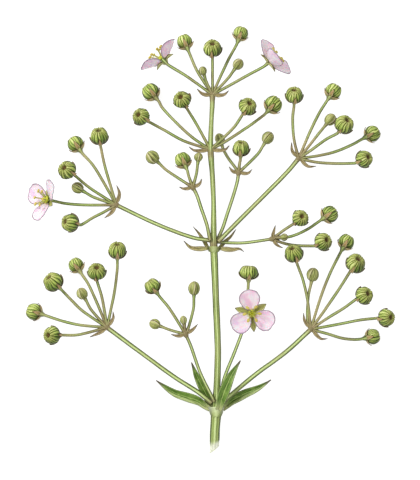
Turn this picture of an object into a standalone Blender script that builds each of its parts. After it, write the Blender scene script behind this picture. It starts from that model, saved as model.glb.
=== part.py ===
"""Narrow-leaved water plantain: a cut flowering stem lying on a surface, seen from above.

The tables are in millimetres: +X to the right of the plant, +Y towards its tip and +Z up from the
surface. Each entry is one thing that grows, with the plan points that its stalk passes on the way.
"""

from collections import namedtuple
from math import cos, pi, radians, sin

import bmesh
import bpy
from mathutils import Matrix, Vector

MM = 0.001

# Driving dimensions, in millimetres
CLEARANCE = 0.3
PEDICEL_RADIUS = 0.42
PEDICEL_BASE_RADIUS = 0.5
PEDICEL_LIFT = 1.6
SHORT_PEDICEL = 9.0
NECK = 0.9
UMBEL_KNOT_RADIUS = 0.95
SMALL_BRACT_THICKNESS = 0.4
LEAFY_BRACT_THICKNESS = 0.5
PETAL_LENGTH = 6.2
PETAL_WIDTH = 6.2
PETAL_NECK = 0.72
PETAL_SWELL = 0.42
PETAL_THICKNESS = 0.3
PETAL_CUP = 0.07
PETAL_FOOT = 0.8
SEPAL_WIDTH = 2.2
SEPAL_FOOT = 0.3
SEPAL_ROOT = (0.1, 0.03, -0.5)
WIDEST = 0.28
TIP_SHARE = 0.25
TAPER = 1.6
STAMEN_COUNT = 6
STAMEN_ROOT = (0.3, 0.0, 1.05)
STAMEN_TIP = (2.3, 0.0, 3.6)
STAMEN_ALONG = (0.0, 0.7, 1.0)
STAMEN_RADII = (0.14, 0.36, 0.26)
CUT_SLANT = 0.83

# Facets
HEAD_SIDES = 12
STEM_SIDES = 8
STALK_SIDES = 6
PEDICEL_SPANS = 3
STALK_SPANS = 4
BRACT_SPANS = 2
LEAFY_BRACT_SPANS = 4
PETAL_SIDES = 10
COLLAR_SIDES = 10
CURVE_STEPS = 12
SLIVER = 0.003
SHARP_EDGE = radians(50)

# A fruiting head's turned profile in head radii, (radius, height), from low down to the pit's rim
HEAD_PROFILE = ((0.66, -0.66), (1.0, -0.05), (0.8, 0.58), (0.34, 0.86))
HEAD_BASE = -0.86
PIT_FLOOR = 0.45
PIT_RIM = 0.5
ACHENE_GROOVE = 0.94

# The cup of sepals under a head: its depth, its rim's height and width, and how far in the rim dips
CUP_DEPTH = 0.5
CUP_RISE = 0.7
CUP_RADIUS = 0.52
CUP_VALLEY = 0.55

# A bud from its foot up, (height, radius) in shares of its length and its width
BUD_SWELL = ((0.32, 0.46), (0.72, 0.44))

# A flower's receptacle and carpels from its foot up, (height, radius) in millimetres
FLOWER_FOOT = 1.0
FLOWER_DOME = ((0.45, 0.62), (0.9, 0.42), (1.4, 0.42), (1.75, 1.0), (2.45, 0.9))
FLOWER_TIP = 2.9

RESTING = None

Fruit = namedtuple("Fruit", "x y z size faces via flat", defaults=(1.0,))
Bud = namedtuple("Bud", "x y z size length via")
# A flower's petals are (turn, spread, roll) and its sepals (turn, spread, length). The turn goes round
# the way that the flower faces from its first petal, and the spread away from that way, in degrees.
Flower = namedtuple("Flower", "name x y z faces first_petal petals sepals via")
Bract = namedtuple("Bract", "width points")
Umbel = namedtuple("Umbel", "name node fruits buds flowers bracts")
Branch = namedtuple("Branch", "umbel radius stalk")
Collar = namedtuple("Collar", "name centre inner outer height bracts")

TOP = Umbel(
    "top", (0.7, 40.6, 8.0),
    fruits=[
        Fruit(-7.1, 55.5, 5.0, 4.4, (-0.35, 0.85, -0.4), [(-3.6, 47.3)]),
        Fruit(0.7, 53.5, 10.5, 5.1, (0.0, 0.69, 0.72), [(0.7, 46.0)]),
        Fruit(8.6, 57.9, RESTING, 4.2, (0.33, 0.9, -0.3), [(2.5, 44.8), (5.4, 51.0)]),
    ],
    buds=[
        Bud(-2.0, 47.3, 10.5, 2.1, 2.5, [(-1.1, 44.4)]),
        Bud(7.9, 49.2, 9.5, 2.8, 3.2, [(5.2, 45.4)]),
    ],
    flowers=[
        Flower("top_left", -13.0, 50.3, 7.6, (-0.7, 0.71, -0.1), (0.0, 0.0, -1.0),
               [(0, 86, 0), (109, 66, 9), (240, 70, -9)], [(64, 90, 3.6), (297, 90, 3.6), (0, 100, 3.6)],
               [(-6.7, 45.9)]),
        Flower("top_right", 16.5, 49.7, 8.4, (0.77, 0.636, 0.1), (0.0, 0.0, 1.0),
               [(0, 56, 0), (118, 62, 17), (242, 62, -17)], [(62, 86, 3.6), (180, 77, 3.6), (298, 86, 3.6)],
               [(4.3, 42.6), (11.5, 46.6)]),
    ],
    bracts=[
        Bract(1.1, [(0.2, 40.5, 8.3), (-2.0, 40.8, 8.8), (-3.7, 42.3, 8.9)]),
        Bract(1.1, [(1.2, 40.5, 8.3), (3.8, 40.6, 8.8), (5.3, 41.8, 8.9)]),
    ],
)

THIRD_WHORL = Umbel(
    "third_whorl", (0.1, 25.3, 8.0),
    fruits=[
        Fruit(-16.6, 41.5, RESTING, 4.9, (-0.6, 0.7, -0.4), [(-4.8, 28.6), (-9.2, 32.6), (-13.4, 37.1)]),
        Fruit(-7.8, 39.1, 12.5, 5.0, (-0.24, 0.44, 0.87), [(-3.9, 32.6)]),
        Fruit(-19.2, 34.4, 12.0, 4.9, (-0.46, 0.3, 0.84), [(-7.3, 27.7), (-12.4, 30.5)]),
        Fruit(10.5, 37.2, 12.5, 5.0, (0.32, 0.49, 0.81), [(6.6, 31.4)]),
        Fruit(17.7, 37.9, 5.0, 5.0, (0.6, 0.7, -0.4), [(3.9, 27.3), (11.1, 32.0)]),
    ],
    buds=[],
    flowers=[],
    bracts=[
        Bract(1.1, [(-0.4, 25.1, 8.3), (-4.2, 25.0, 8.9), (-6.0, 26.1, 9.1)]),
        Bract(1.1, [(0.6, 25.1, 8.3), (4.1, 25.2, 8.9), (5.4, 26.4, 9.1)]),
    ],
)

# The stem's centre line with its radius, from the cut end to the top umbel
STEM = [
    (1.2, -58.8, 1.3, 1.3),
    (1.4, -53.5, 2.1, 1.3),
    (1.7, -48.4, 2.95, 1.4),
    (1.85, -46.0, 3.25, 1.25),
    (1.96, -41.4, 3.8, 0.93),
    (2.2, -30.8, 4.8, 0.87),
    (1.65, -16.8, 5.9, 0.9),
    (1.2, -5.0, 6.8, 0.97),
    (1.0, -0.8, 7.0, 1.05),
    (1.0, 2.2, 7.1, 0.8),
    (0.98, 11.2, 7.4, 0.64),
    (0.6, 19.0, 7.8, 0.68),
    (0.2, 24.2, 8.0, 0.84),
    (0.15, 27.0, 8.0, 0.68),
    (0.4, 33.6, 8.0, 0.6),
    (0.64, 38.1, 8.0, 0.66),
    (0.7, 40.6, 8.0, 0.8),
]

BRANCHES = [
    Branch(
        Umbel(
            "upper_left", (-26.2, 9.8, 8.5),
            fruits=[
                Fruit(-30.9, 29.0, 12.0, 5.0, (-0.1, 0.8, 0.55), [(-27.7, 14.8), (-29.4, 20.7)]),
                Fruit(-37.7, 26.9, RESTING, 4.6, (-0.55, 0.75, -0.4), [(-29.7, 16.0), (-32.8, 21.0)]),
                Fruit(-39.8, 19.5, 13.5, 5.2, (-0.47, 0.33, 0.82), [(-29.7, 12.0), (-33.9, 14.8)]),
                Fruit(-39.0, 4.8, 12.0, 5.0, (-0.75, 0.15, 0.6), [(-29.7, 7.8), (-32.8, 6.2)]),
            ],
            buds=[Bud(-37.1, 14.6, 9.0, 3.0, 3.4, [(-32.6, 12.0)])],
            flowers=[
                Flower("upper_left", -45.2, 11.2, 9.6, (-0.8, 0.16, 0.58), (-0.75, 0.49, -0.43),
                       [(8, 64, 0), (114, 64, 0), (250, 67, 0)],
                       [(60, 74, 3.6), (180, 74, 3.6), (300, 74, 3.6)], [(-35.0, 9.8), (-40.3, 10.2)]),
            ],
            bracts=[
                Bract(1.1, [(-26.2, 10.2, 8.6), (-25.3, 12.9, 9.2), (-26.1, 15.3, 9.3)]),
                Bract(1.1, [(-26.4, 9.4, 8.6), (-27.7, 7.5, 9.0), (-29.6, 6.1, 9.0)]),
            ],
        ),
        0.56,
        [(-0.7, 0.0, 7.1), (-4.5, 0.6, 7.2), (-10.1, 2.5, 7.5), (-16.4, 5.1, 7.9)],
    ),
    Branch(
        Umbel(
            "upper_left_inner", (-4.8, 14.7, 10.0),
            fruits=[Fruit(-7.6, 22.3, 8.5, 4.6, (-0.35, 0.8, -0.45), [(-6.0, 18.0)])],
            buds=[
                Bud(-16.1, 23.2, 11.0, 3.6, 3.9, [(-9.5, 17.7), (-12.4, 19.7)]),
                Bud(-3.2, 23.2, 12.0, 2.3, 2.5, [(-3.8, 18.5)]),
            ],
            flowers=[],
            bracts=[
                Bract(1.0, [(-5.2, 14.6, 10.1), (-7.2, 14.3, 10.5), (-8.6, 14.8, 10.5)]),
                Bract(1.0, [(-4.4, 14.8, 10.1), (-2.9, 15.7, 10.5), (-2.3, 17.1, 10.5)]),
            ],
        ),
        0.49,
        [(-0.15, 0.8, 8.5), (-0.9, 4.3, 8.8), (-2.4, 8.7, 9.2), (-3.7, 12.6, 9.7)],
    ),
    Branch(
        Umbel(
            "upper_right_inner", (8.0, 18.8, 5.0),
            fruits=[Fruit(8.7, 25.7, 6.5, 4.6, (0.05, 0.9, 0.45), [(8.3, 21.5)])],
            buds=[
                Bud(2.7, 28.4, 4.0, 2.6, 3.2, [(7.0, 20.4), (5.2, 22.8), (3.8, 25.2)]),
                Bud(16.3, 28.7, 4.4, 3.2, 3.6, [(13.4, 24.1)]),
            ],
            flowers=[],
            bracts=[
                Bract(1.0, [(7.6, 18.9, 5.2), (6.3, 19.3, 5.6), (5.4, 20.5, 5.7)]),
                Bract(1.0, [(8.4, 18.8, 5.2), (10.6, 18.7, 5.6), (11.8, 19.8, 5.7)]),
            ],
        ),
        0.48,
        [(2.5, 1.0, 5.7), (3.6, 3.5, 5.5), (5.0, 7.8, 5.2), (6.4, 12.0, 5.0), (7.6, 16.2, 5.0)],
    ),
    Branch(
        Umbel(
            "upper_right", (24.8, 22.8, 8.5),
            fruits=[
                Fruit(23.5, 40.4, 12.0, 4.8, (0.0, 0.78, 0.62), [(23.5, 28.1), (23.1, 33.9)]),
                Fruit(34.5, 41.6, 6.0, 4.6, (0.5, 0.75, -0.4), [(27.9, 30.1), (30.6, 35.6)]),
                Fruit(37.4, 32.2, 13.0, 5.3, (0.45, 0.6, 0.66), [(28.4, 25.2), (32.4, 28.1)]),
                Fruit(45.5, 29.8, RESTING, 4.6, (0.85, 0.45, -0.35),
                      [(30.4, 23.6), (35.3, 24.8), (40.2, 26.9)]),
                Fruit(43.0, 22.6, 12.0, 4.8, (0.65, 0.3, 0.7), [(29.4, 21.8), (34.3, 21.4)]),
            ],
            buds=[Bud(33.7, 33.8, 7.0, 3.1, 3.5, [(28.0, 26.7), (30.6, 30.0)])],
            flowers=[],
            bracts=[
                Bract(1.0, [(24.5, 23.2, 8.7), (23.0, 24.9, 9.2), (22.8, 27.3, 9.3)]),
                Bract(1.0, [(25.3, 22.5, 8.7), (27.4, 20.6, 9.1), (29.7, 20.6, 9.2)]),
            ],
        ),
        0.62,
        [(2.95, 0.2, 7.6), (7.5, 4.8, 7.9), (15.0, 12.3, 8.2), (21.6, 19.0, 8.4)],
    ),
    Branch(
        Umbel(
            "right", (17.4, 0.3, 6.5),
            fruits=[
                Fruit(25.2, 6.1, 11.0, 4.8, (0.3, 0.3, 0.91), [(20.6, 2.7)]),
                Fruit(33.5, 7.2, 4.5, 4.8, (0.75, 0.5, -0.4), [(22.6, 1.0), (27.1, 2.9)]),
                Fruit(31.6, -0.5, 10.0, 5.0, (0.55, 0.3, 0.78), [(20.6, -0.9), (23.8, -1.5)]),
            ],
            buds=[Bud(20.8, 0.8, 9.0, 2.0, 2.1, [(18.6, 0.7)])],
            flowers=[],
            bracts=[
                Bract(0.9, [(17.4, 0.6, 6.7), (17.8, 2.2, 7.2), (18.3, 4.1, 7.3)]),
                Bract(0.9, [(17.6, 0.0, 6.7), (18.9, -1.5, 7.2), (20.4, -2.2, 7.3)]),
            ],
        ),
        0.43,
        [(2.75, -0.6, 6.2), (5.5, -0.8, 6.2), (9.4, -0.8, 6.3), (13.5, -0.3, 6.4)],
    ),
    Branch(
        Umbel(
            "lower_left", (-28.8, -24.5, 6.5),
            fruits=[
                Fruit(-49.3, -20.1, RESTING, 4.7, (-0.9, 0.3, -0.3), [(-36.5, -23.8), (-41.4, -22.7)]),
                Fruit(-44.1, -26.6, 10.5, 5.0, (-0.6, 0.0, 0.8), [(-34.5, -26.0), (-37.5, -26.6)]),
                Fruit(-43.8, -11.7, 9.5, 5.4, (-0.6, 0.6, 0.5), [(-35.6, -19.9), (-39.1, -16.5)]),
                Fruit(-37.6, -7.1, RESTING, 4.3, (-0.5, 0.75, -0.4), [(-32.0, -16.8), (-34.3, -12.0)]),
                Fruit(-31.6, -8.9, 11.5, 5.1, (0.0, 0.65, 0.76), [(-30.2, -16.2)]),
                Fruit(-25.9, -2.9, 10.0, 5.0, (0.0, 0.85, 0.5),
                      [(-27.9, -20.2), (-26.7, -14.3), (-26.0, -8.8)]),
            ],
            buds=[Bud(-35.8, -14.9, 7.5, 3.0, 3.3, [(-33.2, -19.6)])],
            flowers=[],
            bracts=[
                Bract(1.0, [(-28.5, -24.1, 6.7), (-27.1, -21.9, 7.2), (-27.1, -20.0, 7.3)]),
                Bract(1.0, [(-29.1, -24.8, 6.7), (-30.8, -25.9, 6.6), (-33.7, -27.2, 6.5)]),
            ],
        ),
        0.62,
        [(-0.25, -45.1, 3.45), (-3.4, -42.6, 3.8), (-10.1, -38.3, 4.3), (-19.4, -31.5, 5.2)],
    ),
    Branch(
        Umbel(
            "lower_left_inner", (-6.8, -26.4, 9.0),
            fruits=[Fruit(-16.1, -12.9, 10.0, 4.3, (-0.55, 0.8, 0.2), [(-9.0, -22.8), (-11.6, -18.8)])],
            buds=[
                Bud(-4.4, -13.4, 11.0, 3.1, 3.9, [(-5.9, -24.1), (-4.6, -19.0)]),
                Bud(-15.5, -23.5, 9.0, 2.8, 3.1, [(-11.0, -25.2)]),
                Bud(-7.4, -22.3, 10.5, 1.9, 2.4, [(-7.1, -24.4)]),
            ],
            flowers=[],
            bracts=[
                Bract(1.0, [(-7.2, -26.5, 9.1), (-9.0, -26.8, 9.5), (-10.9, -26.4, 9.5)]),
                Bract(1.0, [(-6.4, -26.1, 9.1), (-4.8, -25.0, 9.5), (-3.4, -23.5, 9.5)]),
            ],
        ),
        0.46,
        [(0.85, -44.5, 5.0), (-2.6, -37.5, 6.2), (-5.5, -29.3, 8.3)],
    ),
    Branch(
        Umbel(
            "lower_right_inner", (10.1, -21.8, 8.0),
            fruits=[Fruit(10.9, -9.1, 5.5, 5.3, (0.05, 0.98, 0.1), [(10.4, -16.5)], 0.8)],
            buds=[],
            flowers=[
                Flower("lower_right", 11.7, -20.5, 11.6, (0.02, -0.03, 1.0), (-0.172, 0.985, 0.0),
                       [(0, 76, 0), (120, 80, 0), (233, 80, 0)],
                       [(63, 93, 5.0), (177, 93, 5.3), (293, 93, 4.9)], [(11.0, -21.0)]),
            ],
            bracts=[],
        ),
        0.46,
        [(3.25, -44.1, 4.8), (3.8, -39.4, 5.2), (7.0, -31.1, 6.3), (8.9, -26.0, 7.2)],
    ),
    Branch(
        Umbel(
            "lower_right", (28.2, -25.0, 7.0),
            fruits=[
                Fruit(23.4, -3.8, 12.0, 5.2, (-0.25, 0.75, 0.6), [(27.3, -17.0), (26.0, -11.2)]),
                Fruit(38.2, -0.6, 4.0, 4.5, (0.45, 0.8, -0.4), [(31.2, -15.4), (33.9, -8.7)]),
                Fruit(40.6, -6.6, 12.5, 5.5, (0.4, 0.62, 0.67), [(32.1, -19.6), (36.1, -13.7)]),
                Fruit(43.0, -15.5, 11.5, 5.0, (0.6, 0.3, 0.75), [(33.0, -21.8), (37.5, -19.0)]),
                Fruit(49.2, -21.7, 10.0, 4.9, (0.7, 0.05, 0.7), [(36.3, -23.5), (41.9, -22.4)]),
                Fruit(45.6, -27.1, RESTING, 4.4, (0.95, 0.2, -0.3),
                      [(33.0, -26.3), (37.0, -27.5), (40.2, -27.9)]),
            ],
            buds=[Bud(28.8, -9.6, 8.0, 3.4, 3.8, [(27.3, -22.6), (27.5, -15.9)])],
            flowers=[],
            bracts=[
                Bract(1.0, [(27.9, -24.6, 7.2), (26.4, -22.4, 7.7), (26.2, -20.4, 7.8)]),
                Bract(1.0, [(28.7, -25.4, 7.2), (31.0, -27.6, 7.4), (32.9, -27.6, 7.4)]),
            ],
        ),
        0.64,
        [(3.95, -45.2, 3.55), (6.4, -43.0, 3.9), (12.6, -37.8, 4.5), (21.2, -31.4, 5.8)],
    ),
]

COLLARS = [
    Collar(
        "lower_bracts", (1.75, -47.4, 3.07), 1.78, 2.2, 1.1,
        [
            Bract(2.6, [(0.05, -47.4, 2.1), (-1.2, -46.7, 1.8), (-3.2, -45.2, 1.9), (-6.3, -44.1, 2.1),
                        (-9.7, -43.0, 2.3), (-12.5, -41.3, 2.6), (-15.1, -39.4, 3.2)]),
            Bract(2.5, [(0.75, -47.4, 1.4), (0.2, -46.3, 1.1), (-0.6, -44.4, 1.8), (-2.0, -41.5, 2.7),
                        (-3.8, -38.0, 3.5), (-5.2, -34.3, 4.5)]),
            Bract(3.0, [(2.45, -47.4, 4.9), (2.8, -46.5, 5.8), (3.3, -44.5, 6.5), (4.3, -41.7, 7.0),
                        (6.0, -37.9, 7.3), (8.5, -33.7, 7.0)]),
            Bract(2.6, [(3.45, -47.4, 2.1), (4.5, -46.6, 1.8), (6.5, -44.9, 2.0), (9.6, -43.2, 2.3),
                        (13.5, -41.5, 2.8), (17.1, -39.2, 3.6)]),
        ],
    ),
    Collar(
        "middle_bracts", (1.1, -2.35, 6.92), 1.45, 1.85, 0.9,
        [
            Bract(1.1, [(0.1, -2.35, 5.6), (-0.7, -1.9, 5.1), (-1.6, -0.3, 5.2), (-3.2, 2.0, 5.8),
                        (-4.8, 3.8, 6.5)]),
            Bract(1.4, [(-0.55, -2.35, 7.1), (-1.6, -2.4, 7.2), (-4.1, -2.4, 7.3), (-5.7, -1.9, 7.2),
                        (-7.4, -0.2, 7.0)]),
            Bract(1.4, [(2.75, -2.35, 7.1), (3.7, -2.5, 7.2), (6.2, -2.7, 7.1), (8.3, -2.5, 7.0),
                        (9.5, -3.3, 6.9)]),
            Bract(1.1, [(2.1, -2.35, 5.6), (2.9, -1.9, 5.1), (4.0, -0.6, 5.1), (5.8, 1.0, 5.4),
                        (7.3, 3.1, 5.8)]),
        ],
    ),
]


def clear_scene():
    for thing in list(bpy.data.objects):
        bpy.data.objects.remove(thing, do_unlink=True)


def material(name, colour, roughness):
    """A plain plant surface of one colour."""
    made = bpy.data.materials.new(name)
    made.use_nodes = True
    shader = made.node_tree.nodes["Principled BSDF"]
    shader.inputs["Base Color"].default_value = (*colour, 1.0)
    shader.inputs["Roughness"].default_value = roughness
    shader.inputs["Metallic"].default_value = 0.0
    made.diffuse_color = (*colour, 1.0)
    return made


def curve_through(points, spans):
    """Evenly spaced points along a smooth curve through the given ones."""
    steps = [(b - a).length for a, b in zip(points, points[1:])]
    slopes = [(points[1] - points[0]) / steps[0]]
    for i in range(1, len(points) - 1):
        slopes.append((points[i + 1] - points[i - 1]) / (steps[i - 1] + steps[i]))
    slopes.append((points[-1] - points[-2]) / steps[-1])
    fine = []
    for i, step in enumerate(steps):
        for k in range(CURVE_STEPS):
            t = k / CURVE_STEPS
            fine.append(
                points[i] * (2 * t**3 - 3 * t**2 + 1)
                + slopes[i] * step * (t**3 - 2 * t**2 + t)
                + points[i + 1] * (3 * t**2 - 2 * t**3)
                + slopes[i + 1] * step * (t**3 - t**2)
            )
    fine.append(points[-1])
    run = [0.0]
    for a, b in zip(fine, fine[1:]):
        run.append(run[-1] + (b - a).length)
    chosen = []
    at = 0
    for k in range(spans):
        wanted = run[-1] * k / spans
        while run[at + 1] < wanted:
            at += 1
        chosen.append(fine[at].lerp(fine[at + 1], (wanted - run[at]) / (run[at + 1] - run[at])))
    return chosen + [points[-1]]


def frames_along(points, up=Vector((0.0, 0.0, 1.0))):
    """A matrix at each point with Z along the curve and Y carried on from up with no twist."""
    frames = []
    for i, point in enumerate(points):
        ahead = points[min(i + 1, len(points) - 1)] - points[max(i - 1, 0)]
        z = ahead.normalized()
        y = (up - z * up.dot(z)).normalized()
        x = y.cross(z)
        frame = Matrix((x, y, z)).transposed().to_4x4()
        frame.translation = point
        frames.append(frame)
        up = y
    return frames


def frame_facing(point, direction, towards=Vector((0.0, 1.0, 0.0))):
    """A matrix at the point with Z along the direction and X turned to a second direction."""
    z = Vector(direction).normalized()
    x = Vector(towards) - z * z.dot(Vector(towards))
    x.normalize()
    frame = Matrix((x, z.cross(x), z)).transposed().to_4x4()
    frame.translation = point
    return frame


def ring(frame, sides, across, deep=None, height=0.0, valley=1.0):
    """An oval of points in the frame's XY plane; every other one is drawn in by valley."""
    deep = across if deep is None else deep
    points = []
    for i in range(sides):
        angle = 2 * pi * i / sides
        reach = valley if i % 2 else 1.0
        points.append(frame @ Vector((across * reach * cos(angle), deep * reach * sin(angle), height)))
    return points


def loop_edges(bm, loop):
    return [bm.edges.get((a, b)) for a, b in zip(loop, loop[1:] + loop[:1])]


def drawn_out(bm, loop, places):
    """Extrudes a loop of vertices to new places and returns the new loop in the same order."""
    geometry = bmesh.ops.extrude_edge_only(bm, edges=loop_edges(bm, loop))["geom"]
    fresh = {part for part in geometry if isinstance(part, bmesh.types.BMVert)}
    following = []
    for vertex, place in zip(loop, places):
        partner = next(e.other_vert(vertex) for e in vertex.link_edges if e.other_vert(vertex) in fresh)
        partner.co = place
        following.append(partner)
    return following


def close_loop(bm, loop, point=None):
    """Caps a loop flat, or draws it to a point."""
    if point is None:
        bmesh.ops.contextual_create(bm, geom=loop_edges(bm, loop))
    else:
        last = drawn_out(bm, loop, [point] * len(loop))
        bmesh.ops.pointmerge(bm, verts=last, merge_co=point)


def loft(rings, start=None, end=None):
    """A closed mesh drawn through the rings, flat at each end or drawn to a point there."""
    bm = bmesh.new()
    first = bmesh.ops.create_circle(bm, cap_ends=False, radius=1.0, segments=len(rings[0]))["verts"]
    for vertex, place in zip(first, rings[0]):
        vertex.co = place
    close_loop(bm, first, start)
    loop = first
    for places in rings[1:]:
        loop = drawn_out(bm, loop, places)
    close_loop(bm, loop, end)
    return finished(bm)


def finished(bm):
    """The bmesh as a mesh in metres with its faces pointing out."""
    bmesh.ops.scale(bm, vec=(MM, MM, MM), verts=bm.verts)
    bmesh.ops.recalc_face_normals(bm, faces=bm.faces)
    mesh = bpy.data.meshes.new("growth")
    bm.to_mesh(mesh)
    bm.free()
    mesh.shade_smooth()
    mesh.set_sharp_from_angle(angle=SHARP_EDGE)
    return mesh


def solid(name, meshes, surface):
    """One object of one mesh, or of several that overlap and are united."""
    body = bpy.data.objects.new(name, meshes[0])
    body.data.name = name
    body.data.materials.append(surface)
    bpy.context.scene.collection.objects.link(body)
    if len(meshes) == 1:
        return body
    helpers = bpy.data.collections.new(name + "_growth")
    bpy.context.scene.collection.children.link(helpers)
    for i, mesh in enumerate(meshes[1:]):
        helper = bpy.data.objects.new(f"{name}_growth_{i}", mesh)
        helper.hide_render = True
        helper.display_type = "WIRE"
        helpers.objects.link(helper)
    union = body.modifiers.new("Grown together", "BOOLEAN")
    union.operation = "UNION"
    union.solver = "EXACT"
    union.operand_type = "COLLECTION"
    union.collection = helpers
    weld = body.modifiers.new("Slivers", "WELD")
    weld.merge_threshold = SLIVER * MM
    return body


def head_rings(frame, radius, flat):
    rings = []
    for r, h in HEAD_PROFILE:
        groove = 1.0 if r < PIT_RIM else ACHENE_GROOVE
        rings.append(ring(frame, HEAD_SIDES, radius * r, height=radius * flat * h, valley=groove))
    return rings


def head_frame(fruit):
    """The head's frame. A resting head is lowered until it touches the surface."""
    radius = fruit.size / 2
    frame = frame_facing((fruit.x, fruit.y, 0.0), fruit.faces)
    if fruit.z is RESTING:
        lowest = min(point.z for points in head_rings(frame, radius, fruit.flat) for point in points)
        frame.translation.z = -lowest
    else:
        frame.translation.z = fruit.z
    return frame


def fruit_head(fruit):
    """A flattened ball of achenes with a pit in the middle of its crown."""
    frame = head_frame(fruit)
    radius = fruit.size / 2
    base = frame @ Vector((0.0, 0.0, HEAD_BASE * radius * fruit.flat))
    floor = frame @ Vector((0.0, 0.0, PIT_FLOOR * radius * fruit.flat))
    return loft(head_rings(frame, radius, fruit.flat), base, floor)


def stalk_points(node, via, foot, axis):
    """The stalk's path: out along the plan points, curving up or down to what it carries."""
    plan = [node.xy] + [Vector(point) for point in via] + [foot.xy]
    run = [0.0]
    for a, b in zip(plan, plan[1:]):
        run.append(run[-1] + (b - a).length)
    path = [node]
    for point, reached in zip(plan[1:-1], run[1:-1]):
        rise = (foot.z - node.z) * (reached / run[-1]) ** PEDICEL_LIFT
        path.append(Vector((*point, node.z + rise)))
    return path + [foot - axis * NECK, foot]


def pedicel_rings(node, via, foot, axis, beyond):
    """Rings along a pedicel and on past its foot, where beyond lists (height, radius, valley)."""
    spans = 2 if (foot - node).length < SHORT_PEDICEL else PEDICEL_SPANS
    path = curve_through(stalk_points(node, via, foot, axis), spans)
    on = [foot + axis * height for height, _, _ in beyond]
    frames = frames_along(path + on)
    middle = [PEDICEL_RADIUS] * (len(path) - 1)
    rings = [ring(frame, STALK_SIDES, r) for frame, r in zip(frames, [PEDICEL_BASE_RADIUS] + middle)]
    for frame, (_, radius, valley) in zip(frames[len(path):], beyond):
        rings.append(ring(frame, STALK_SIDES, radius, valley=valley))
    return rings


def fruit_stalk(node, fruit):
    """A pedicel that opens into a small three-lobed cup of sepals just clear of its head."""
    frame = head_frame(fruit)
    axis = frame.to_3x3().col[2].copy()
    radius = fruit.size / 2
    seat = frame @ Vector((0.0, 0.0, HEAD_BASE * radius * fruit.flat - CLEARANCE))
    foot = seat - axis * CUP_DEPTH
    lobes = [(CUP_RISE, CUP_RADIUS * radius, CUP_VALLEY)]
    return loft(pedicel_rings(node, fruit.via, foot, axis, lobes), None, seat)


def bud_on_stalk(node, bud):
    """A pedicel that ends in a closed oval bud."""
    centre = Vector((bud.x, bud.y, bud.z))
    axis = (centre - Vector((*bud.via[-1], (node.z + bud.z) / 2))).normalized()
    half = bud.length / 2
    foot = centre - axis * half
    swell = [(height * bud.length, r * bud.size, 1.0) for height, r in BUD_SWELL]
    return loft(pedicel_rings(node, bud.via, foot, axis, swell), None, centre + axis * half)


def flower_centre(node, flower):
    """A pedicel with its receptacle and dome of carpels, three sepals and a ring of stamens."""
    frame = frame_facing((flower.x, flower.y, flower.z), flower.faces, flower.first_petal)
    axis = frame.to_3x3().col[2].copy()
    foot = frame.translation - axis * FLOWER_FOOT
    dome = [(height, radius, 1.0) for height, radius in FLOWER_DOME]
    made = [loft(pedicel_rings(node, flower.via, foot, axis, dome), None, foot + axis * FLOWER_TIP)]
    root = Vector(SEPAL_ROOT)
    for turned, spread, length in flower.sepals:
        turn = Matrix.Rotation(radians(turned), 4, "Z")
        lean = radians(spread)
        tip = length * Vector((sin(lean), 0.0, cos(lean))) + Vector((0.0, 0.0, root.z))
        points = [frame @ turn @ point for point in (root, tip / 2, tip)]
        made.append(blade(points, SEPAL_WIDTH, SMALL_BRACT_THICKNESS, BRACT_SPANS, axis, SEPAL_FOOT))
    for k in range(STAMEN_COUNT):
        turn = Matrix.Rotation(2 * pi * (k + 0.4) / STAMEN_COUNT, 4, "Z")
        points = [frame @ turn @ Vector(STAMEN_ROOT).lerp(Vector(STAMEN_TIP), t) for t in STAMEN_ALONG]
        frames = frames_along(points, axis)
        made.append(loft([ring(f, 3, r) for f, r in zip(frames, STAMEN_RADII)]))
    return made


def blade(points, width, thickness, spans, up=Vector((0.0, 0.0, 1.0)), foot=0.75):
    """A narrow leaf: widest near its foot, lens-shaped across and drawn to a point."""
    path = curve_through(points, spans)
    frames = frames_along(path, up)
    rings = []
    for i, frame in enumerate(frames[:-1]):
        t = i / spans
        if t < WIDEST:
            swell = foot + (1.0 - foot) * t / WIDEST
        else:
            swell = 1.0 - (1.0 - TIP_SHARE) * ((t - WIDEST) / (1.0 - WIDEST)) ** TAPER
        rings.append(ring(frame, 4, width / 2 * swell, thickness / 2))
    return loft(rings, None, path[-1])


def petal(flower, k):
    """One broad petal, hollowed along its length, held clear of the flower's centre."""
    frame = frame_facing((flower.x, flower.y, flower.z), flower.faces, flower.first_petal)
    turned, spread, roll = (radians(angle) for angle in flower.petals[k])
    lean = Matrix.Rotation(spread - pi / 2, 4, "Y") @ Matrix.Rotation(roll, 4, "X")
    place = frame @ Matrix.Rotation(turned, 4, "Z") @ Matrix.Translation((PETAL_FOOT, 0.0, 0.1)) @ lean
    bm = bmesh.new()
    rim = bmesh.ops.create_circle(bm, cap_ends=True, cap_tris=True, radius=1.0, segments=PETAL_SIDES)
    for vertex in rim["verts"]:
        along = (1 + vertex.co.x) / 2
        across = vertex.co.y * (PETAL_NECK + PETAL_SWELL * along) * PETAL_WIDTH / 2
        vertex.co = place @ Vector((along * PETAL_LENGTH, across, PETAL_CUP * across**2))
    return finished(bm)


def umbel_meshes(umbel):
    """The knot of an umbel with all that grows from it, apart from the heads and the petals."""
    node = Vector(umbel.node)
    knot = bmesh.new()
    place = Matrix.Translation(node)
    bmesh.ops.create_icosphere(knot, subdivisions=1, radius=UMBEL_KNOT_RADIUS, matrix=place)
    made = [finished(knot)]
    made += [fruit_stalk(node, fruit) for fruit in umbel.fruits]
    made += [bud_on_stalk(node, bud) for bud in umbel.buds]
    for flower in umbel.flowers:
        made += flower_centre(node, flower)
    for bract in umbel.bracts:
        points = [Vector(point) for point in bract.points]
        made.append(blade(points, bract.width, SMALL_BRACT_THICKNESS, BRACT_SPANS))
    return made


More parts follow.
